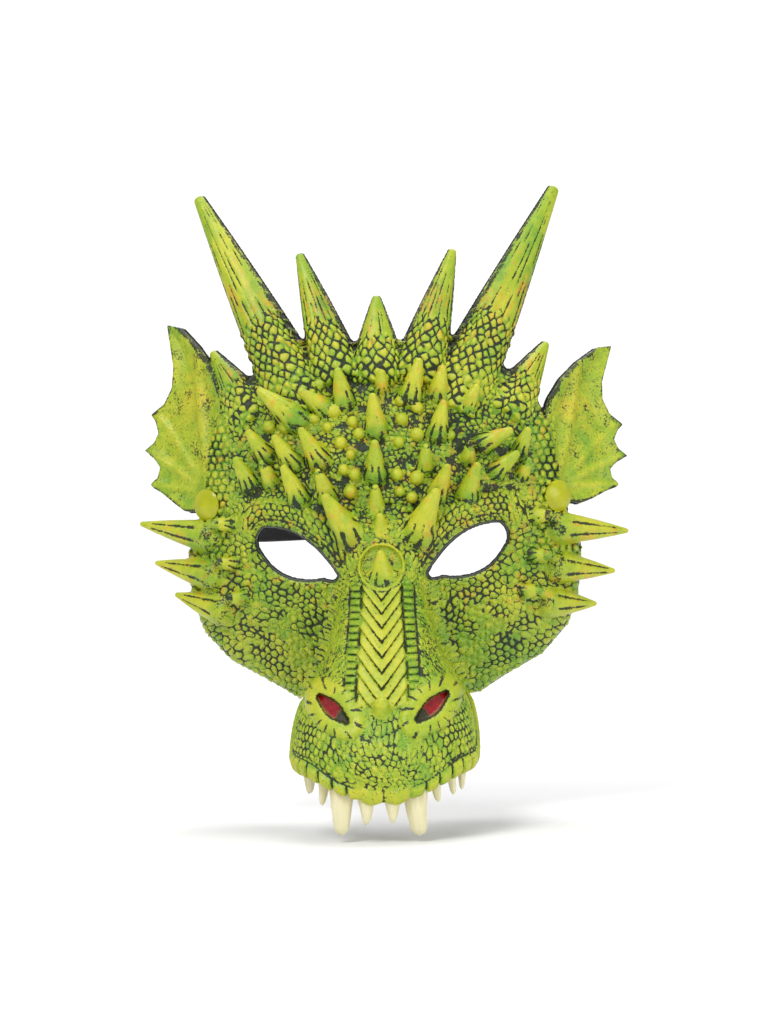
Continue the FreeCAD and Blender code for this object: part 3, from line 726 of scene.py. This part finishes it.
def paint_horn(skin, row, number, side):
    """Diamond scales on the lower third, broken grooves above them, and a blush where they meet."""
    x, y, z = skin.choose(skin.part == HORN + 2 * number + (side < 0))
    if not len(x):
        return
    a, _, c = horn_frame(row, x * side, y, z)
    half, tip_half, length = row[3:6]
    width = half + (tip_half - half) * np.clip(c / length, 0, 1)
    u = np.arcsin(np.clip(a / width, -1, 1)) * half * 0.75
    wave = drift(a / 3 + 7 * number, c / 30 + side, 13)
    border, tint = scales((u + 0.7 * c + wave) / 3.8, (u - 0.7 * c + wave) / 3.8, 0.45, 81 + number,
                          stagger=0)
    zigzag = 0.36 * length + 2.2 * np.abs(((u / 5.5) % 1) - 0.5) * 4 + 1.5 * wave
    low = ramp(1.0, -1.0, c - zigzag)
    furrow = np.zeros(len(x))
    for place in (-0.72, -0.45, -0.12, 0.2, 0.5, 0.76):
        line = hump(a / width, place + 0.06 * drift(c / 14, 0 * c + place * 9, 15), 0.035 + 0.4 / length)
        broken = ramp(-0.35, 0.25, drift(c / 9, 0 * c + place * 31 + number, 17))
        furrow = np.maximum(furrow, line * broken)
    furrow = furrow * ramp(length - 2, length - 12, c)
    dome = ramp(0, 0.6, border)
    meeting = hump(c, 0.52 * length, 0.18 * length)
    skin.put(1.0, height=-0.7 * furrow, wash=0.95 * furrow + 0.12, pebble=0.12, tone=0.62 + 0.2 * wave,
             blush=0.6 * meeting * ramp(-0.3, 0.6, drift(a / 1.6, c / 14, 99)))
    broken = ramp(-0.8, -0.1, drift(u / 3, c / 3, 90 + number))
    skin.put(low, height=0.9 * dome - 0.5,
             wash=broken * (1 - ramp(0.1, 0.36, border + 0.12 * drift(u / 7, c / 7, 95))),
             tone=0.4 + 0.45 * dome + 0.25 * (tint - 0.5), pebble=0.5,
             blush=0.5 * ramp(0.35, 0.9, tint) * ramp(0, zigzag, c))
    edge = ramp(0.86, 0.99, np.abs(a) / width)
    skin.put(0.75 * edge, wash=0.9)


def paint_ears(skin):
    """A speckled membrane with a thick inner ridge and soft ribs to its points."""
    for side in (1, -1):
        along, up, _ = ear_frame(*skin.choose(skin.part == EAR + (side < 0)))
        edge = -polygon_distance(along, up, EAR_OUTLINE)
        rib = np.zeros(len(along))
        for reach, rise in ((30, 8.5), (33, 21), (30.5, 35)):
            run = np.array((reach - 3.0, rise - 4.0))
            t = np.clip(((along - 3) * run[0] + (up - 4) * run[1]) / (run @ run), 0, 1)
            off = np.hypot(along - 3 - t * run[0], up - 4 - t * run[1] - 3.0 * t * (1 - t))
            rib = np.maximum(rib, hump(off, 0, 1.5) * ramp(0.1, 0.4, t))
        spine = hump(along + 1.2 - 0.34 * up + 0.0017 * up ** 2, 0, 2.4) * ramp(66, 50, up)
        bumps, _ = scales((along + 3) / 3.6, up / 3.6, 0.2, 91)
        rim = ramp(1.6, 0.2, edge)
        field = drift(along / 6, up / 6, 19)
        skin.put(1.0, height=rib + 1.5 * spine, wash=0.28 + 0.12 * field - 0.2 * rib,
                 tone=0.62 + 0.25 * spine + 0.2 * rib + 0.15 * field, pebble=0.75,
                 blush=0.5 * hump(along, 12, 8) * hump(up, 40, 12) * (0.5 + 0.5 * field))
        skin.put(0.85 * rim, wash=0.85)
        column = ramp(2.5, 0.5, along) * ramp(40, 30, up)
        skin.put(column, height=1.1 * ramp(0, 0.55, bumps),
                 wash=0.8 * (1 - ramp(0.05, 0.3, bumps)), tone=0.8)


def paint_skin(x, y, z, part):
    """The relief and the paint of surface points, given the part that each belongs to."""
    skin = Skin(x, y, z, part)
    paint_face(skin)
    paint_cones(skin)
    for number, row in enumerate(HORNS):
        for side in (1, -1):
            paint_horn(skin, row, number, side)
    paint_ears(skin)
    return skin


BAND = 1.9                      # how far from the surface the relief moves the field


def press_relief(form):
    """Move the form's surface by the relief, wherever it faces forward or sideways."""
    near = np.nonzero((np.abs(form.form) < BAND) & (form.back < 0.5))
    x, y, z = (axis[i] for axis, i in zip(form.axes, near))
    skin = paint_skin(x, y, z, form.part[near])
    front = ramp(0.5, -2.0, form.back[near])
    fade = ramp(BAND, BAND - 0.5, np.abs(form.form[near]))
    form.form[near] -= (skin.height * front * fade).astype(np.float32)


def add_object(name, data):
    thing = bpy.data.objects.new(name, data)
    bpy.context.scene.collection.objects.link(thing)
    return thing


def new_object(name, vertices, faces):
    mesh = bpy.data.meshes.new(name)
    mesh.from_pydata(vertices, [], faces)
    mesh.shade_smooth()
    return add_object(name, mesh)


def grid_object(name, vertices, triangles, quads):
    """A mesh made straight from arrays of triangles and quads, in millimetres."""
    mesh = bpy.data.meshes.new(name)
    corners = np.concatenate([triangles.ravel(), quads.ravel()]).astype(np.int32)
    starts = np.concatenate([np.arange(len(triangles)) * 3,
                             len(triangles) * 3 + np.arange(len(quads)) * 4]).astype(np.int32)
    mesh.vertices.add(len(vertices))
    mesh.vertices.foreach_set("co", (vertices * MM).astype(np.float32).ravel())
    mesh.loops.add(len(corners))
    mesh.loops.foreach_set("vertex_index", corners)
    mesh.polygons.add(len(starts))
    mesh.polygons.foreach_set("loop_start", starts)
    mesh.update(calc_edges=True)
    mesh.validate()
    mesh.shade_smooth()
    return add_object(name, mesh)


def give_points(thing, name, numbers):
    """Store one number for each vertex, for the material to read."""
    layer = thing.data.attributes.new(name, "FLOAT", "POINT")
    layer.data.foreach_set("value", numbers)


def foam_skin(form):
    """The whole foam body, cut off where the fields say its back is."""
    field = blend_max(form.form, form.back, 0.8)
    vertices, triangles, quads = grid_mesh(field, form.low, 0.003)
    nearest = tuple(np.clip(np.round((vertices[:, i] - form.low[i]) / STEP).astype(int), 0,
                            form.form.shape[i] - 1) for i in range(3))
    part = form.part[nearest].copy()
    skin = paint_skin(*vertices.T.astype(float), part)
    behind = ramp(-1.6, -0.2, form.back[nearest])
    skin.wash += behind * (0.85 - skin.wash)
    skin.pebble *= 1 - behind
    thing = grid_object("foam_skin", vertices, triangles, quads)
    for name in Skin.PLAIN:
        give_points(thing, name, np.clip(getattr(skin, name), 0, 1).astype(np.float32))
    thing.data.materials.append(foam_material())
    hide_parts("face_plate", "muzzle_shell",
                *(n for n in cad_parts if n.startswith(("crown_horn", "ear_fin", "cheek_spikes"))))
    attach(thing, "mask")


def lining_sheet(form):
    """Black cloth glued to the whole back, standing a little proud of the foam's edge."""
    proud = np.where(form.part == EYE_RIM, 0.5, 0.3)
    field = np.maximum(form.form - proud, GLUE_GAP - form.back)
    field = np.maximum(field, form.back - GLUE_GAP - LINING)
    field = np.where(form.back > -FAR + 1, field, FAR)
    vertices, triangles, quads = grid_mesh(field, form.low, 0.01)
    thing = grid_object("fabric_lining_cloth", vertices, triangles, quads)
    thing.data.materials.append(cloth_material())
    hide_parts("fabric_lining")
    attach(thing, "mask")


# ---- materials ----

class Material:
    """Short calls that build one material's nodes."""

    def __init__(self, name, **sockets):
        self.material = bpy.data.materials.new(name)
        self.material.use_nodes = True
        self.tree = self.material.node_tree
        self.shader = self.tree.nodes["Principled BSDF"]
        self.wire(self.shader, **sockets)
        self.place = self.node("ShaderNodeTexCoord").outputs["Object"]

    def node(self, kind, **fields):
        node = self.tree.nodes.new(kind)
        for name, setting in fields.items():
            setattr(node, name, setting)
        return node

    def feed(self, sockets, *sources):
        """Link sockets to others, or set them to numbers or colours."""
        for socket, source in zip(sockets, sources):
            if isinstance(source, bpy.types.NodeSocket):
                self.tree.links.new(source, socket)
            else:
                socket.default_value = source

    def wire(self, node, **sources):
        """Feed a node's sockets by their names."""
        self.feed([node.inputs[name.replace("_", " ")] for name in sources], *sources.values())

    def attribute(self, name):
        return self.node("ShaderNodeAttribute", attribute_name=name).outputs["Fac"]

    def noise(self, scale, detail=2.0, roughness=0.5, stretch=None):
        node = self.node("ShaderNodeTexNoise")
        place = self.place
        if stretch:
            mapping = self.node("ShaderNodeMapping")
            self.wire(mapping, Scale=stretch, Vector=place)
            place = mapping.outputs["Vector"]
        self.wire(node, Vector=place, Scale=scale, Detail=detail, Roughness=roughness)
        return node.outputs["Fac"]

    def pebbles(self, scale):
        node = self.node("ShaderNodeTexVoronoi", feature="SMOOTH_F1")
        self.wire(node, Vector=self.place, Scale=scale)
        return node.outputs["Distance"]

    def math(self, operation, a, b=0.0):
        node = self.node("ShaderNodeMath", operation=operation)
        self.feed(node.inputs, a, b)
        return node.outputs[0]

    def step(self, x, low, high, bottom=0.0, top=1.0):
        node = self.node("ShaderNodeMapRange", interpolation_type="SMOOTHSTEP")
        self.feed(node.inputs, x, low, high, bottom, top)
        return node.outputs["Result"]

    def cloud(self, low, high, *noise, **stretch):
        """Noise that wanders between two numbers."""
        return self.step(self.noise(*noise, **stretch), 0.3, 0.7, low, high)

    def ramp(self, x, *stops):
        node = self.node("ShaderNodeValToRGB")
        elements = node.color_ramp.elements
        while len(elements) < len(stops):
            elements.new(0.5)
        for element, (position, colour) in zip(elements, stops):
            element.position = position
            element.color = (*colour, 1)
        self.feed(node.inputs, x)
        return node.outputs["Color"]

    def mix(self, share, a, b):
        node = self.node("ShaderNodeMix", data_type="RGBA")
        a, b = ((*colour, 1) if isinstance(colour, tuple) else colour for colour in (a, b))
        self.feed((node.inputs[0], node.inputs[6], node.inputs[7]), share, a, b)
        return node.outputs[2]

    def finish(self, colour, roughness, *bumps):
        """Wire up the colour, the roughness and bumps of (height, depth in millimetres)."""
        before = {}
        for height, depth in bumps:
            bump = self.node("ShaderNodeBump")
            self.wire(bump, Height=height, Distance=depth * MM, **before)
            before = {"Normal": bump.outputs["Normal"]}
        self.wire(self.shader, Base_Color=colour, Roughness=roughness, **before)
        return self.material


DARK_GREEN, GREEN = (0.06, 0.16, 0.008), (0.17, 0.34, 0.012)
LIME, YELLOW_LIME = (0.33, 0.43, 0.014), (0.49, 0.50, 0.022)
# The last colour is the near-black of the black paint and of the painted shade.
ORANGE, RED, BLACK_PAINT_AND_SHADE = (0.66, 0.26, 0.012), (0.32, 0.006, 0.012), (0.006, 0.011, 0.004)


def foam_material():
    """Green foam with black paint in its hollows and painted shade at the cone roots and round the nostrils,
    lime on what stands out and a dusting of orange.
    """
    m = Material("painted_foam", Specular_IOR_Level=0.42, Coat_Weight=0.12, Coat_Roughness=0.3)
    wash, tone, blush, red, pebble = (m.attribute(name) for name in Skin.PLAIN)
    cloudy = m.cloud(-0.16, 0.16, 38, 3)
    mottle = m.cloud(-0.13, 0.13, 260, 3)
    shade = m.math("ADD", tone, m.math("ADD", cloudy, mottle))
    colour = m.ramp(shade, (0.0, DARK_GREEN), (0.32, GREEN), (0.66, LIME), (1.0, YELLOW_LIME))
    dusting = m.math("MULTIPLY", blush, m.step(m.noise(380, 4, 0.65), 0.36, 0.62))
    colour = m.mix(dusting, colour, ORANGE)
    patchy = m.math("ADD", m.step(m.noise(1100, 4, 0.7), 0.2, 0.8, -0.42, 0.42),
                    m.cloud(-0.24, 0.24, 230, 3, 0.6))
    # Black paint broken up by noise; it also carries the painted shade round the nostrils and at the cone
    # roots. Black specks go on top.
    coverage = m.step(m.math("ADD", wash, patchy), 0.44, 0.72, 0, 0.96)
    speckle = m.math("MULTIPLY", m.step(m.noise(1300, 3, 0.65), 0.57, 0.64, 0, 0.75), pebble)
    black_paint_and_shade = m.math("MAXIMUM", coverage, speckle)
    colour = m.mix(black_paint_and_shade, colour, BLACK_PAINT_AND_SHADE)
    blood = m.ramp(m.noise(400, 2), (0.3, (0.2, 0.002, 0.006)), (0.7, RED))
    colour = m.mix(m.math("MULTIPLY", red, m.math("SUBTRACT", 1.0, coverage)), colour, blood)
    satin = m.cloud(0.36, 0.5, 500, 3)
    rough = m.math("ADD", satin, m.math("MULTIPLY", black_paint_and_shade, 0.22))
    rough = m.math("SUBTRACT", rough, m.math("MULTIPLY", red, 0.26))
    grain = m.math("MULTIPLY", m.pebbles(1000), pebble)
    return m.finish(colour, rough, (m.noise(900, 4, 0.6), 0.22), (grain, 0.3))


def cloth_material():
    """Thin black nonwoven cloth."""
    m = Material("black_lining_cloth", Specular_IOR_Level=0.25, Sheen_Weight=0.25, Sheen_Roughness=0.5)
    weave = m.math("ADD", m.noise(1500, 2, stretch=(1, 1, 0.2)), m.noise(1500, 2, stretch=(0.2, 1, 1)))
    colour = m.ramp(m.noise(700, 4), (0.3, (0.004, 0.004, 0.005)), (0.75, (0.02, 0.02, 0.021)))
    return m.finish(colour, m.step(weave, 0.6, 1.4, 0.85, 0.98), (weave, 0.35))


def elastic_material():
    """Black knitted elastic: ribs along it, small loops across."""
    m = Material("black_elastic", Specular_IOR_Level=0.3, Sheen_Weight=0.3, Sheen_Roughness=0.4)
    along, across = m.attribute("along"), m.attribute("across")
    loops = m.math("SINE", m.math("MULTIPLY", along, 2 * math.pi / 0.9))
    ribs = m.math("SINE", m.math("MULTIPLY", across, 2 * math.pi / 1.0))
    knit = m.step(m.math("MULTIPLY", loops, ribs), -1.0, 1.0)
    colour = m.ramp(m.math("ADD", knit, m.cloud(-0.2, 0.2, 900, 3)),
                    (0.2, (0.004, 0.004, 0.005)), (0.9, (0.024, 0.024, 0.026)))
    return m.finish(colour, m.step(knit, 0.0, 1.0, 0.9, 0.62), (knit, 0.3))


def tooth_material():
    """Cream plastic, browner towards the gum, with fine streaks."""
    m = Material("tooth_cream", Specular_IOR_Level=0.5, Subsurface_Weight=0.12, Subsurface_Scale=0.002)
    # Darker and browner towards the root, where the tooth meets the lip, with streaky noise.
    toward_root = m.math("ADD", m.attribute("root"), m.cloud(-0.22, 0.22, 420, 3, stretch=(1, 1, 0.25)))
    colour = m.ramp(toward_root, (0.1, (0.74, 0.69, 0.43)), (0.62, (0.62, 0.54, 0.30)), (1.0, (0.27, 0.17, 0.07)))
    streak = m.noise(700, 3, stretch=(1, 1, 0.15))
    return m.finish(colour, m.cloud(0.28, 0.45, 300, 3), (streak, 0.16))


def rivet_material():
    """Glossy olive-lime snap caps with a few scuffs."""
    m = Material("rivet_lime_gloss", Specular_IOR_Level=0.35, Coat_Weight=0.08, Coat_Roughness=0.1)
    colour = m.ramp(m.noise(160, 3), (0.3, (0.34, 0.37, 0.006)), (0.7, (0.45, 0.46, 0.01)))
    scuff = m.step(m.noise(1100, 4, 0.7, stretch=(1, 1, 0.3)), 0.62, 0.72)
    colour = m.mix(m.math("MULTIPLY", scuff, 0.5), colour, (0.12, 0.14, 0.03))
    return m.finish(colour, m.math("ADD", m.cloud(0.14, 0.24, 600, 3),
                                   m.math("MULTIPLY", scuff, 0.2)), (m.noise(240, 2), 0.1))


def rivet_tail_material():
    """Matt grey-black moulded plastic."""
    m = Material("rivet_tail_plastic", Specular_IOR_Level=0.45)
    colour = m.ramp(m.noise(300, 3), (0.3, (0.010, 0.011, 0.010)), (0.7, (0.035, 0.037, 0.033)))
    return m.finish(colour, m.cloud(0.42, 0.6, 900, 3), (m.noise(1400, 3), 0.08))


# ---- teeth, rivets and strap ----

def ring_faces(rings, sides, flip):
    """Faces between rings of vertices, with a cap on each end; flip turns them all over."""
    faces = []
    for start in range(0, (rings - 1) * sides, sides):
        for side in range(sides):
            after = (side + 1) % sides
            faces.append((start + side, start + after, start + sides + after, start + sides + side))
    faces.append(tuple(range(sides))[::-1])
    faces.append(tuple(range((rings - 1) * sides, rings * sides)))
    return [face[::-1] for face in faces] if flip else faces


def tooth_axis(name):
    """Where a CAD tooth's cone stands, its radii at root and tip, and its two heights. The CAD cuts the root
    away in places, so the radius there comes from the slope of the side."""
    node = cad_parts[name]
    corners = np.array([node.matrix_world @ v.co for v in node.data.vertices]) / MM
    low, high = corners[:, 2].min(), corners[:, 2].max()
    lowest, upper = corners[:, 2] < low + 0.05, corners[:, 2] > low + 3
    rim = corners[lowest]
    middle = (rim[:, :2].min(0) + rim[:, :2].max(0)) / 2
    far = np.hypot(corners[:, 0] - middle[0], corners[:, 1] - middle[1])
    tip = far[lowest].max()
    slope = ((far[upper] - tip) / (corners[upper, 2] - low)).max()
    return middle, tip + slope * (high - low), tip, high, low


TOOTH_RINGS, TOOTH_SIDES = 26, 36


def tooth(name, material, seed):
    """A slightly curved, ridged cone with a blunt tip, where the CAD's tooth hangs."""
    middle, radius, tip_radius, high, low = tooth_axis(name)
    length, fall = high - low, 1 - tip_radius / radius
    lean = 0.05 * length * np.sign(middle[0]) * (abs(middle[0]) < 30)
    vertices, roots = [], []
    for ring in range(TOOTH_RINGS):
        t = ring / (TOOTH_RINGS - 1)
        taper = (1 - fall * t ** 1.15) * math.sqrt(max(1 - (max(t - 0.86, 0) / 0.141) ** 2, 0.0))
        for side in range(TOOTH_SIDES):
            angle = 2 * math.pi * side / TOOTH_SIDES
            ridge = 1 + 0.05 * math.cos(3 * angle + seed) + 0.03 * math.cos(7 * angle + 2 * seed + 3 * t)
            across = radius * taper * ridge * math.cos(angle)
            back = 0.88 * radius * taper * ridge * math.sin(angle)
            vertices.append((middle[0] + across + lean * (t * t - 0.4 * t) + 0.25 * math.sin(5 * t + seed),
                             middle[1] + back + 0.10 * length * (t * t - t), high - length * t))
            roots.append(max(0.0, 1 - t * 1.9) * 0.8)
    thing = new_object(name + "_shaped", [tuple(c * MM for c in v) for v in vertices],
                       ring_faces(TOOTH_RINGS, TOOTH_SIDES, flip=True))
    give_points(thing, "root", roots)
    thing.data.materials.append(material)
    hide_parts(name)
    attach(thing, "mask")


STRAP_WIDTH, STRAP_THICK = 25.0, 1.6
STRAP_DEPTH = 7.35            # middle of the strap behind the temple's outer face
STRAP_TABS = (-8.0, 7.0)      # along the temple from the rivet
STRAP_BEND = 6.0              # radius of the bend where the strap leaves the temple
STRAP_FLEX = (39.0, 54.0)     # the run that flexes, as Y
STRAP_SPAN = 76.5             # from the middle of the head to the strap
STRAP_EDGE = 0.8              # how far in from its edges the strap is rounded


def strap_half_path():
    """Points of the strap's middle line in plan, from the right tab to the middle of the back."""
    base = np.array((RIVET[0], RIVET_RISE))
    along = np.array((math.cos(TEMPLE), math.sin(TEMPLE)))
    inward = np.array((-math.sin(TEMPLE), math.cos(TEMPLE)))
    points = [base + along * a + inward * STRAP_DEPTH for a in np.arange(STRAP_TABS[0], STRAP_TABS[1], 1.0)]
    for turn in np.linspace(0, math.pi / 2 - TEMPLE, 12):
        points.append(base + along * (STRAP_TABS[1] + STRAP_BEND * math.sin(turn))
                      + inward * (STRAP_DEPTH + STRAP_BEND * (1 - math.cos(turn))))
    start = points[-1][1]
    points += [np.array((STRAP_SPAN, y)) for y in np.arange(start + 1, STRAP_FLEX[1], 1.0)]
    points += [np.array((STRAP_SPAN * math.cos(a), STRAP_FLEX[1] + STRAP_SPAN * math.sin(a)))
               for a in np.linspace(0, math.pi / 2, 116)]
    return points


def strap_sag(x, y):
    """The band sits a little lower on the left than on the right."""
    return (3.9 * math.tanh(x / 25) - 0.5) * float(ramp(STRAP_FLEX[1], STRAP_FLEX[1] + 55, y))


def strap():
    """The whole elastic strap, ribbed along, from one riveted end to the other."""
    half = strap_half_path()
    path = np.array(half + [np.array((-x, y)) for x, y in half[-2::-1]])
    ways = np.gradient(path, axis=0)
    ways /= np.linalg.norm(ways, axis=1)[:, None]
    outs = np.stack([ways[:, 1], -ways[:, 0]], 1)
    lengths = np.concatenate([[0], np.cumsum(np.linalg.norm(np.diff(path, axis=0), axis=1))])
    per_side = 76
    heights = np.linspace(-1, 1, per_side) * STRAP_WIDTH / 2
    past = np.maximum(np.abs(heights) - STRAP_WIDTH / 2 + STRAP_EDGE, 0)
    edge = np.sqrt(np.clip(1 - (past / STRAP_EDGE) ** 2, 0.03, 1))
    rib = 0.5 + 0.5 * np.cos(2 * np.pi * heights / 1.9)
    thick = (STRAP_THICK / 2 - 0.16 * (1 - rib)) * edge
    section = [(t, h) for t, h in zip(thick, heights)] + [(-t, h) for t, h in zip(thick[::-1], heights[::-1])]
    vertices, along, across = [], [], []
    for (x, y), (ox, oy), length in zip(path, outs, lengths):
        drop = RIVET[1] + strap_sag(x, y)
        for t, h in section:
            vertices.append(((x + ox * t) * MM, (y + oy * t) * MM, (drop + h) * MM))
            along.append(length)
            across.append(h)
    thing = new_object("elastic_strap", vertices, ring_faces(len(path), len(section), flip=False))
    give_points(thing, "along", along)
    give_points(thing, "across", across)
    thing.data.materials.append(elastic_material())
    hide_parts("strap_end_right", "strap_end_left", "strap_flex_right", "strap_flex_left",
                "strap_band")
    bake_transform(thing)


# ---- stage, light and camera ----

FLOOR = -0.1125
CAMERA_DISTANCE, CAMERA_AZIMUTH, CAMERA_ROLL = 1.1, 1.7, 1.5
AIM = Vector((0.0012, 0.0, 0.0154))


def sweep():
    """A pale floor that curves up into a backdrop."""
    profile = [(-3.0, 0.0), (1.4, 0.0)]
    profile += [(1.4 + 0.8 * math.sin(a), 0.8 - 0.8 * math.cos(a)) for a in np.linspace(0.1, math.pi / 2, 16)]
    profile.append((2.2, 4.0))
    vertices = [(x, y, FLOOR + z) for x in (-4.0, 4.0) for y, z in profile]
    count = len(profile)
    faces = [(i, i + 1, count + i + 1, count + i) for i in range(count - 1)]
    thing = new_object("studio_sweep", vertices, faces)
    m = Material("studio_white", Specular_IOR_Level=0.1)
    colour = m.ramp(m.noise(3, 2), (0.3, (0.86, 0.86, 0.86)), (0.7, (0.88, 0.88, 0.88)))
    thing.data.materials.append(m.finish(colour, 0.9))


def lamp(name, place, size, watts, target=(0, 0, 0)):
    light = bpy.data.lights.new(name, "AREA")
    light.shape = "DISK"
    light.size = size
    light.energy = watts
    thing = add_object(name, light)
    thing.location = place
    thing.rotation_mode = "QUATERNION"
    thing.rotation_quaternion = (Vector(target) - Vector(place)).to_track_quat("-Z", "Y")


def studio():
    sweep()
    lamp("key_light", (-0.55, -1.0, 1.15), 0.7, 13)
    lamp("fill_light", (0.95, -1.0, 0.35), 1.0, 6)
    lamp("top_light", (0.1, 0.25, 1.4), 0.9, 8)
    lamp("backdrop_light", (0, 0.9, 1.6), 1.6, 16, target=(0, 2.2, 0.3))
    world = bpy.data.worlds.new("studio_air")
    world.use_nodes = True
    air = world.node_tree.nodes["Background"].inputs
    air["Color"].default_value = (1, 1, 1, 1)
    air["Strength"].default_value = 0.55
    bpy.context.scene.world = world
    bpy.context.scene.view_settings.view_transform = "Standard"


def camera():
    data = bpy.data.cameras.new("camera")
    data.lens = 95
    data.sensor_width = 36
    data.clip_start, data.clip_end = 0.05, 20
    thing = add_object("camera", data)
    azimuth = math.radians(CAMERA_AZIMUTH)
    away = Vector((math.sin(azimuth), -math.cos(azimuth), 0))
    thing.location = AIM + away * CAMERA_DISTANCE
    thing.rotation_euler = (math.pi / 2, math.radians(CAMERA_ROLL), azimuth)
    bpy.context.scene.camera = thing


# ---- the mask ----

def build():
    form = build_sculpture()
    press_relief(form)
    foam_skin(form)
    lining_sheet(form)
    cream = tooth_material()
    for seed, name in enumerate(sorted(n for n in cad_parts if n.startswith("tooth"))):
        tooth(name, cream, seed)
    strap()
    finishes = {"rivet_cap": rivet_material(), "rivet_tail": rivet_tail_material()}
    for name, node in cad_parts.items():
        for start, finish in finishes.items():
            if name.startswith(start):
                node.data.materials.clear()
                node.data.materials.append(finish)
    studio()
    camera()


build()
